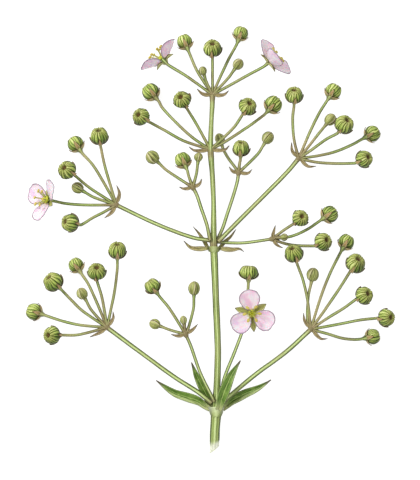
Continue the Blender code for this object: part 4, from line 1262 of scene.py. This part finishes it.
def head_look(name):
    """Green achenes with pale backs and dark grooves, a brown pit in the crown, painted shade on the lower
    sides and at the base, and a painted highlight towards the upper left.
    """
    heads = setting("heads")
    dark, fresh, painted_highlight = (0.16, 0.27, 0.035), (0.29, 0.38, 0.06), (0.78, 0.82, 0.34)
    foot, rim, warm_pit = (0.1, 0.11, 0.03), (0.4, 0.34, 0.12), (0.19, 0.1, 0.03)
    look = Look(name, 0.45, 0.35)
    ridge, up, shade = look.tones()
    streaks = look.grain((2.6, 2.6, 1.0), 4.0, 0.62)
    patches = look.grain((0.42, 0.42, 0.5), 2.0)
    # The ridge tone also carries painted shade on the sides that face down and painted light from the upper
    # left: the groove colour paints that shade and the gleam colour the highlight
    raised = look.uneven(look.uneven(ridge, streaks, 1.8), patches, 1.1)
    look.colour = look.mixed(look.between(raised, 0.05, 0.6), heads.groove, look.mixed(shade, dark, fresh))
    look.paint(raised, 0.5, 1.15, heads.ridge)
    look.paint(raised, 1.0, 1.4, painted_highlight)
    # Painted shade: darker towards the base of the head
    look.paint(up, 0.34, 0.04, foot, 0.75)
    look.paint(up, 0.6, 0.72, rim, 0.35)
    look.paint(up, 0.84, 0.96, look.mixed(shade, heads.pit, warm_pit))
    look.finish(streaks, 0.05, 0.36, 0.58)
    return look.material


def dry_sepal_look(name):
    """Tan sepal with a green foot, a pale papery margin and a thin brown edge."""
    vein, foot, yellowed = (0.54, 0.36, 0.16), (0.25, 0.28, 0.08), (0.42, 0.36, 0.13)
    tip, dark_edge = (0.3, 0.15, 0.07), (0.14, 0.09, 0.04)
    look = Look(name, 0.6, 0.2)
    edge, along, shade = look.tones()
    veins = look.grain((4.5, 0.7, 1.0))
    look.colour = look.mixed(look.between(veins, 0.35, 0.7), setting("heads").dry_sepal, vein)
    look.paint(along, 0.6, 0.1, foot)
    look.paint(edge, 0.45, 0.7, PAPERY_MARGIN)
    look.paint(along, 0.86, 1.0, tip)
    look.paint(edge, 0.76, 0.93, dark_edge)
    look.cover(look.reckon("MULTIPLY", shade, 0.25), yellowed)
    look.finish(veins, 0.04, 0.5, 0.75)
    return look.material


def bud_look(name):
    """Pale olive bud with streaks, brown seams beside cream margins, a warmer tip, painted shade on its
    lower side and a painted highlight towards the upper left.
    """
    dark, pale, lit, foot = (0.1, 0.12, 0.025), (0.7, 0.72, 0.32), (0.76, 0.76, 0.36), (0.16, 0.15, 0.05)
    brown, tan = (0.24, 0.15, 0.06), (0.56, 0.42, 0.22)
    cream, seam_brown, painted_shade = (0.72, 0.66, 0.4), (0.1, 0.065, 0.03), (0.1, 0.095, 0.03)
    look = Look(name, 0.5)
    seam, along, painted_shading = look.tones()
    streaks = look.grain((2.6, 2.6, 0.5), 4.0, 0.6)
    patches = look.grain((0.6, 0.6, 0.6), 2.0)
    look.colour = look.mixed(look.between(streaks, 0.4, 0.54), dark, setting("heads").bud_green)
    look.paint(streaks, 0.54, 0.72, pale)
    warmth = look.reckon("MULTIPLY", look.between(along, 0.35, 1.0), look.between(patches, 0.42, 0.66, 0.7))
    look.cover(warmth, look.mixed(look.between(streaks, 0.4, 0.6), brown, tan))
    # Painted highlight where the bud faces the upper left
    look.paint(painted_shading, 0.0, -0.3, look.mixed(0.35, look.colour, lit))
    look.paint(along, 0.2, 0.0, foot, 0.6)
    look.paint(seam, -0.3, -0.8, cream, 0.85)
    look.paint(seam, 0.25, 0.75, seam_brown)
    # Painted shade on the lower side and on the side turned from the upper left
    look.paint(painted_shading, 0.0, 1.0, painted_shade, 0.8)
    look.finish(streaks, 0.04, 0.42, 0.62)
    return look.material


def petal_look(name):
    """Pale pink petal with veins, mauve and pink stains, a yellow foot and a thin grey margin."""
    flowers = setting("flowers")
    mauve, yellow, grey = (0.7, 0.54, 0.78), (0.68, 0.64, 0.2), (0.3, 0.25, 0.31)
    look = Look(name, 0.65, 0.2)
    rim, along, shade = look.tones()
    veins = look.grain((0.35, 4.2, 1.0), 2.0)
    stains = look.grain((0.42, 0.42, 0.42), 1.0)
    look.colour = look.mixed(
        look.between(stains, 0.42, 0.62, 0.6), flowers.petal, look.mixed(shade, flowers.blush, mauve))
    look.paint(veins, 0.48, 0.7, flowers.blush, 0.38)
    look.paint(along, 0.16, 0.0, yellow)
    look.paint(rim, 0.87, 0.97, grey, 0.9)
    look.finish(veins, 0.03, 0.55, 0.75)
    look.put("Subsurface Weight", 0.6)
    look.put("Subsurface Radius", (1.0, 0.6, 0.7))
    look.put("Subsurface Scale", 0.5 * MM)
    return look.material


def flower_sepal_look(name):
    """Olive sepal with parallel veins, a yellow margin and a dark tip."""
    olive, vein, margin = (0.24, 0.26, 0.05), (0.52, 0.52, 0.16), (0.66, 0.62, 0.3)
    dark_edge, tip = (0.2, 0.18, 0.07), (0.12, 0.1, 0.06)
    look = Look(name, 0.55)
    edge, along, _ = look.tones()
    veins = look.grain((4.0, 0.5, 1.0))
    look.colour = look.mixed(look.between(veins, 0.35, 0.65), olive, vein)
    look.paint(edge, 0.55, 0.8, margin)
    look.paint(edge, 0.86, 0.98, dark_edge)
    look.paint(along, 0.84, 1.0, tip)
    look.finish(veins, 0.04, 0.45, 0.65)
    return look.material


def small_look(name, colour, deep, roughness):
    """Anthers, filaments and carpels: one colour, deeper in its hollows and finely grained."""
    look = Look(name, roughness)
    lit, _, shade = look.tones()
    grain = look.grain((2.2, 2.2, 2.2))
    look.colour = look.mixed(look.between(look.reckon("ADD", lit, grain), 0.7, 1.4), deep, colour)
    look.cover(look.reckon("MULTIPLY", shade, 0.25), deep)
    look.finish(grain, 0.03, roughness - 0.08, roughness + 0.12)
    return look.material


def leafy_look(name):
    """Green bract with a pale midrib and margin, parallel veins, a cream foot, a brown tip, and the half of
    its fold towards -Y paler, partly a paler underside and partly painted light.
    """
    bracts = setting("bracts")
    dark, fresh, cream = (0.07, 0.14, 0.015), (0.3, 0.44, 0.09), (0.58, 0.6, 0.28)
    pale, pale_vein = (0.3, 0.38, 0.11), (0.58, 0.66, 0.3)
    dark_edge, tip = (0.08, 0.11, 0.04), (0.13, 0.1, 0.07)
    look = Look(name, 0.5)
    edge, along, lower = look.tones()
    veins = look.grain((5.0, 0.22, 1.0))
    patches = look.grain((0.5, 0.3, 1.0), 2.0)
    look.colour = look.mixed(look.between(veins, 0.35, 0.7), dark, bracts.leafy)
    look.paint(patches, 0.45, 0.75, fresh, 0.6)
    look.paint(edge, 0.14, 0.04, bracts.midrib)
    look.paint(edge, 0.82, 0.94, bracts.midrib, 0.8)
    # The paler half towards -Y: partly the paler underside and partly painted light on that half of the fold
    pale_underside_and_lit_half = look.mixed(look.between(veins, 0.35, 0.65), pale, pale_vein)
    look.paint(lower, 0.3, 0.42, pale_underside_and_lit_half, 0.85)
    look.paint(along, 0.22, -0.04, cream)
    look.paint(edge, 0.9, 0.99, dark_edge, 0.85)
    look.paint(along, 0.8, 0.98, tip)
    look.finish(veins, 0.06, 0.42, 0.6)
    return look.material


def papery_look(name, body, foot):
    """Dry bract with dark streaks, a pale margin, a greener foot and a grey tip."""
    streak, grey, dark_edge = (0.15, 0.11, 0.05), (0.085, 0.075, 0.065), (0.1, 0.075, 0.05)
    look = Look(name, 0.7, 0.2)
    edge, along, _ = look.tones()
    veins = look.grain((4.5, 0.4, 1.0))
    look.colour = look.mixed(look.between(veins, 0.36, 0.6), streak, body)
    look.paint(along, 0.6, 0.0, foot, 0.6)
    look.paint(edge, 0.5, 0.75, PAPERY_MARGIN, 0.5)
    look.paint(along, 0.7, 0.98, grey)
    look.paint(edge, 0.84, 1.0, dark_edge, 0.8)
    look.finish(veins, 0.05, 0.55, 0.8)
    return look.material


def floor_look(name):
    """White paper with a fine tooth that gives off a little light."""
    look = Look(name, 0.9, 0.1)
    place = look.node("TexCoord", {}).outputs["Object"]
    tooth = look.node("TexNoise", {"Scale": 900.0, "Vector": place}).outputs["Fac"]
    look.colour = look.mixed(tooth, (0.29, 0.29, 0.29), (0.33, 0.33, 0.33))
    look.finish(tooth, 0.02, 0.85, 0.95)
    look.put("Emission Color", (1.0, 1.0, 1.0))
    look.put("Emission Strength", setting("stage").glow)
    return look.material


def surface(name, make, *values):
    """The named surface, made the first time that it is asked for."""
    return bpy.data.materials.get(name) or make(name, *values)


ALL_UMBELS = [TOP, THIRD_WHORL] + BRANCHES


def node_of(umbel):
    return "main_stem" if umbel in (TOP, THIRD_WHORL) else "branch_" + umbel.name


def stalks_of(umbel, along):
    """The knot of an umbel with all its pedicels."""
    node = Vector(umbel.node)
    made = [knot(node, along)]
    for fruit in umbel.fruits:
        placed = head_frame(fruit)
        axis = placed.to_3x3().col[2].copy()
        seat = placed @ Vector((0.0, 0.0, HEAD_BASE * fruit.size / 2 * fruit.flat - CLEARANCE))
        cup = seat - axis * CUP_DEPTH
        made.append(pedicel(node, fruit.via, cup, axis, HEAD_SWELL, CUP_DEPTH + CLEARANCE))
    for bud in umbel.buds:
        placed, axis = bud_frame(node, bud)
        made.append(pedicel(node, bud.via, placed.translation, axis, BUD_SWELL, BUD_BEYOND))
    for flower in umbel.flowers:
        placed = flower_frame(flower)
        axis = placed.to_3x3().col[2].copy()
        foot = placed.translation - axis * FLOWER_FOOT
        made.append(pedicel(node, flower.via, foot, axis, FLOWER_SWELL, FLOWER_BEYOND))
        made.append(receptacle(foot, axis))
    return made


def receptacle(foot, axis):
    """The waisted foot of a flower, from its pedicel up to the carpels."""
    path = [foot + axis * (FOOT_SPAN * k) for k in range(FOOT_SPANS + 1)]

    def radius_at(s, _):
        return 0.5 + 0.16 * smooth(s / 0.9)

    return stalk(path, radius_at, FOOT_RIBS)


class PLANTAIN_OT_stalks(bpy.types.Operator):
    """Grow the stem and its nine branches with their knots and pedicels"""

    bl_idname = "plantain.grow_stalks"
    bl_label = "Grow Stalks"

    def execute(self, context):
        green = surface("stalk_green", stalk_look)
        points = [Vector(row[:3]) for row in STEM]
        path = curve_through(points, STEM_SPANS)
        runs = runs_of(points)

        def radius_at(s, length):
            at = s / length * runs[-1]
            i = max(k for k in range(len(runs) - 1) if runs[k] <= at + 1e-6)
            part = smooth((at - runs[i]) / (runs[i + 1] - runs[i]))
            return STEM[i][3] + (STEM[i + 1][3] - STEM[i][3]) * part

        def brown_at(s, _):
            y = STEM[0][1] + s
            forks = [bell(y - fork, 1.6) for fork in FORKS]
            blanched = smooth((3.4 - s) / 3.2)
            return 0.8 * max(forks) - blanched if s else 0.5

        path.insert(1, path[0].lerp(path[1], 0.25))
        # A painted highlight along the rib at 87 degrees, a little left of the top, and painted shade on the
        # flanks
        growths = [stalk(path, radius_at, STEM_RIBS, brown_at, STEM_SIDES, CUT_SLANT,
                         pale=87, painted_highlight=0.75, warm=0.1)]
        for umbel in (THIRD_WHORL, TOP):
            growths += stalks_of(umbel, Vector((0.0, 1.0, 0.0)))
        piece("stem_stalks", growths, green, "stem_green", "main_stem")
        for branch in BRANCHES:
            points = [Vector(point) for point in branch.stalk] + [Vector(branch.node)]
            points.insert(0, points[0] - (points[1] - points[0]).normalized() * 0.8)
            path = curve_through(points, BRANCH_SPANS)

            def thick_at(s, length, radius=branch.radius):
                ends = exp(-s / 1.2) + exp(-(length - s) / 1.0)
                return radius * (1 + 0.14 * ends)

            def fork_brown(s, length):
                return 0.75 * exp(-s / 2.0) + 0.8 * exp(-(length - s) / 1.8)

            # A painted highlight along the rib at 84 degrees from the left side, and painted shade on the
            # flanks
            growths = [stalk(path, thick_at, BRANCH_RIBS, fork_brown, BRANCH_SIDES,
                             pale=84, painted_highlight=0.35, warm=0.25)]
            growths += stalks_of(branch, points[-1] - points[-2])
            piece(branch.name + "_stalks", growths, green, "stem_green", node_of(branch))
        return {"FINISHED"}


class PLANTAIN_OT_heads(bpy.types.Operator):
    """Grow the fruiting heads and the dry sepals under them"""

    bl_idname = "plantain.grow_heads"
    bl_label = "Grow Fruiting Heads"

    def execute(self, context):
        green = surface("achene_green", head_look)
        tan = surface("dry_sepal_tan", dry_sepal_look)
        wall = setting("heads").sepal_thickness
        for umbel in ALL_UMBELS:
            wraps = []
            for n, fruit in enumerate(umbel.fruits, 1):
                seed = f"{umbel.name} {n}"
                name = f"fruiting_head_{umbel.name}_{n}"
                piece(name, [fruiting_head(fruit, seed)], green, "head_green", f"seed_head_{umbel.name}_{n}")
                wraps += dry_sepals(fruit, seed)
            if wraps:
                piece("dry_sepals_" + umbel.name, wraps, tan, "stem_green", node_of(umbel), wall=wall)
        return {"FINISHED"}


class PLANTAIN_OT_buds(bpy.types.Operator):
    """Grow the closed buds"""

    bl_idname = "plantain.grow_buds"
    bl_label = "Grow Buds"

    def execute(self, context):
        green = surface("bud_green", bud_look)
        for umbel in ALL_UMBELS:
            node = Vector(umbel.node)
            buds = [closed_bud(node, bud, f"{umbel.name} {n}") for n, bud in enumerate(umbel.buds)]
            if buds:
                piece("buds_" + umbel.name, buds, green, "stem_green", node_of(umbel))
        return {"FINISHED"}


class PLANTAIN_OT_petals(bpy.types.Operator):
    """Grow the three petals of each open flower"""

    bl_idname = "plantain.grow_petals"
    bl_label = "Grow Petals"

    def execute(self, context):
        pink = surface("petal_blush", petal_look)
        wall = setting("flowers").petal_thickness
        for umbel in ALL_UMBELS:
            for flower in umbel.flowers:
                for k in range(3):
                    piece(f"flower_petal_{flower.name}_{k + 1}", [petal(flower, k)], pink, "petal_pink",
                          f"petal_{flower.name}_{k + 1}", wall=wall)
        return {"FINISHED"}


class PLANTAIN_OT_flower_centres(bpy.types.Operator):
    """Grow the sepals, stamens and carpels of each open flower"""

    bl_idname = "plantain.grow_flower_centres"
    bl_label = "Grow Flower Centres"

    def execute(self, context):
        flowers = setting("flowers")
        olive = surface("flower_sepal_olive", flower_sepal_look)
        pale = surface("filament_pale", small_look, (0.62, 0.6, 0.2), (0.45, 0.45, 0.12), 0.5)
        gold = surface("anther_gold", small_look, flowers.anther, (0.22, 0.13, 0.015), 0.65)
        lemon = surface("carpel_lemon", small_look, flowers.carpel, (0.55, 0.55, 0.03), 0.45)
        for umbel in ALL_UMBELS:
            node = node_of(umbel)
            for flower in umbel.flowers:
                name = flower.name
                filaments, anthers = stamens(flower)
                piece("flower_sepals_" + name, flower_sepals(flower), olive, "stem_green", node,
                      wall=flowers.sepal_thickness)
                piece("filaments_" + name, filaments, pale, "stem_green", node)
                piece("anthers_" + name, anthers, gold, "stem_green", node)
                piece("carpels_" + name, carpels(flower), lemon, "stem_green", node)
        return {"FINISHED"}


class PLANTAIN_OT_bracts(bpy.types.Operator):
    """Grow the leafy and the papery bracts"""

    bl_idname = "plantain.grow_bracts"
    bl_label = "Grow Bracts"

    def execute(self, context):
        bracts = setting("bracts")
        fibrous = surface("stalk_green", stalk_look)
        green = surface("leafy_bract_green", leafy_look)
        tan = surface("papery_bract_tan", papery_look, bracts.papery, (0.4, 0.34, 0.14))
        olive = surface("middle_bract_olive", papery_look, bracts.olive, (0.5, 0.5, 0.2))
        thin = bracts.papery_thickness
        lower, middle = COLLARS
        leaves = bract_sheets(lower.bracts, LEAFY_FOLD, "leafy", True)
        piece("leafy_bracts", leaves, green, "leaf_green", lower.name, wall=bracts.leafy_thickness)
        piece("leafy_sheath", [collar_sleeve(lower, *LOWER_SHEATH)], fibrous, "leaf_green", lower.name)
        dry = bract_sheets(middle.bracts, MIDDLE_FOLD, "middle")
        piece("middle_bracts_olive", dry, olive, "bract_tan", middle.name, wall=thin)
        piece("middle_sheath", [collar_sleeve(middle, *MIDDLE_SHEATH)], fibrous, "bract_tan", middle.name)
        for umbel in ALL_UMBELS:
            small = bract_sheets(umbel.bracts, PAPERY_FOLD, umbel.name)
            if small:
                piece("papery_bracts_" + umbel.name, small, tan, "stem_green", node_of(umbel), wall=thin)
        return {"FINISHED"}


class PLANTAIN_OT_stage(bpy.types.Operator):
    """Lay the pale floor and set up soft light and the camera straight above"""

    bl_idname = "plantain.set_stage"
    bl_label = "Set Stage"

    def execute(self, context):
        stage = setting("stage")
        scene = context.scene
        bm = bmesh.new()
        bmesh.ops.create_grid(bm, x_segments=1, y_segments=1, size=FLOOR_REACH)
        bmesh.ops.translate(bm, vec=(0.0, 0.0, -FLOOR_GAP), verts=bm.verts)
        mesh = bpy.data.meshes.new("floor")
        bm.to_mesh(mesh)
        bm.free()
        mesh.materials.append(surface("floor_paper", floor_look))
        floor = bpy.data.objects.new("floor", mesh)
        scene.collection.objects.link(floor)

        world = bpy.data.worlds.new("studio")
        world.use_nodes = True
        background = world.node_tree.nodes["Background"]
        background.inputs["Color"].default_value = (1.0, 1.0, 1.0, 1.0)
        background.inputs["Strength"].default_value = WORLD_LIGHT
        scene.world = world
        for name, place, size, power in LIGHTS:
            data = bpy.data.lights.new(name, "AREA")
            data.size = size
            data.energy = power * stage.light
            light = bpy.data.objects.new(name, data)
            light.location = place
            light.rotation_euler = Vector(place).to_track_quat("Z", "Y").to_euler()
            scene.collection.objects.link(light)
        scene.view_settings.view_transform = "Standard"

        data = bpy.data.cameras.new("camera")
        data.lens = stage.lens
        data.sensor_width = SENSOR_WIDTH
        height = stage.view_height * stage.lens / SENSOR_WIDTH
        data.clip_start = height / 10
        data.clip_end = height * 4
        camera = bpy.data.objects.new("camera", data)
        camera.location = (0.0, 0.0, height + PLANT_HEIGHT)
        scene.collection.objects.link(camera)
        scene.camera = camera
        return {"FINISHED"}


class PLANTAIN_PT_sidebar(bpy.types.Panel):
    """Lists the steps and the settings of the water plantain"""

    bl_idname = "PLANTAIN_PT_sidebar"
    bl_label = "Water Plantain"
    bl_space_type = "VIEW_3D"
    bl_region_type = "UI"
    bl_category = "Plantain"

    def draw(self, context):
        for group, steps in STEPS.items():
            box = self.layout.box()
            settings = setting(group)
            for name in settings.bl_rna.properties.keys():
                if name not in ("rna_type", "name"):
                    box.prop(settings, name)
            for step in steps:
                box.operator(step.bl_idname)


GROUPS = {
    "stalks": PlantainStalkSettings,
    "heads": PlantainHeadSettings,
    "flowers": PlantainFlowerSettings,
    "bracts": PlantainBractSettings,
    "stage": PlantainStageSettings,
}

STEPS = {
    "stage": (PLANTAIN_OT_stage,),
    "stalks": (PLANTAIN_OT_stalks,),
    "heads": (PLANTAIN_OT_heads, PLANTAIN_OT_buds),
    "flowers": (PLANTAIN_OT_petals, PLANTAIN_OT_flower_centres),
    "bracts": (PLANTAIN_OT_bracts,),
}


def register():
    for name, group in GROUPS.items():
        bpy.utils.register_class(group)
        setattr(bpy.types.Scene, "plantain_" + name, bpy.props.PointerProperty(type=group))
    for steps in STEPS.values():
        for step in steps:
            bpy.utils.register_class(step)
    bpy.utils.register_class(PLANTAIN_PT_sidebar)


def unregister():
    bpy.utils.unregister_class(PLANTAIN_PT_sidebar)
    for steps in STEPS.values():
        for step in steps:
            bpy.utils.unregister_class(step)
    for name, group in GROUPS.items():
        delattr(bpy.types.Scene, "plantain_" + name)
        bpy.utils.unregister_class(group)


def main():
    register()
    bpy.ops.plantain.set_stage()
    bpy.ops.plantain.grow_stalks()
    bpy.ops.plantain.grow_heads()
    bpy.ops.plantain.grow_buds()
    bpy.ops.plantain.grow_petals()
    bpy.ops.plantain.grow_flower_centres()
    bpy.ops.plantain.grow_bracts()


if __name__ == "__main__":
    main()
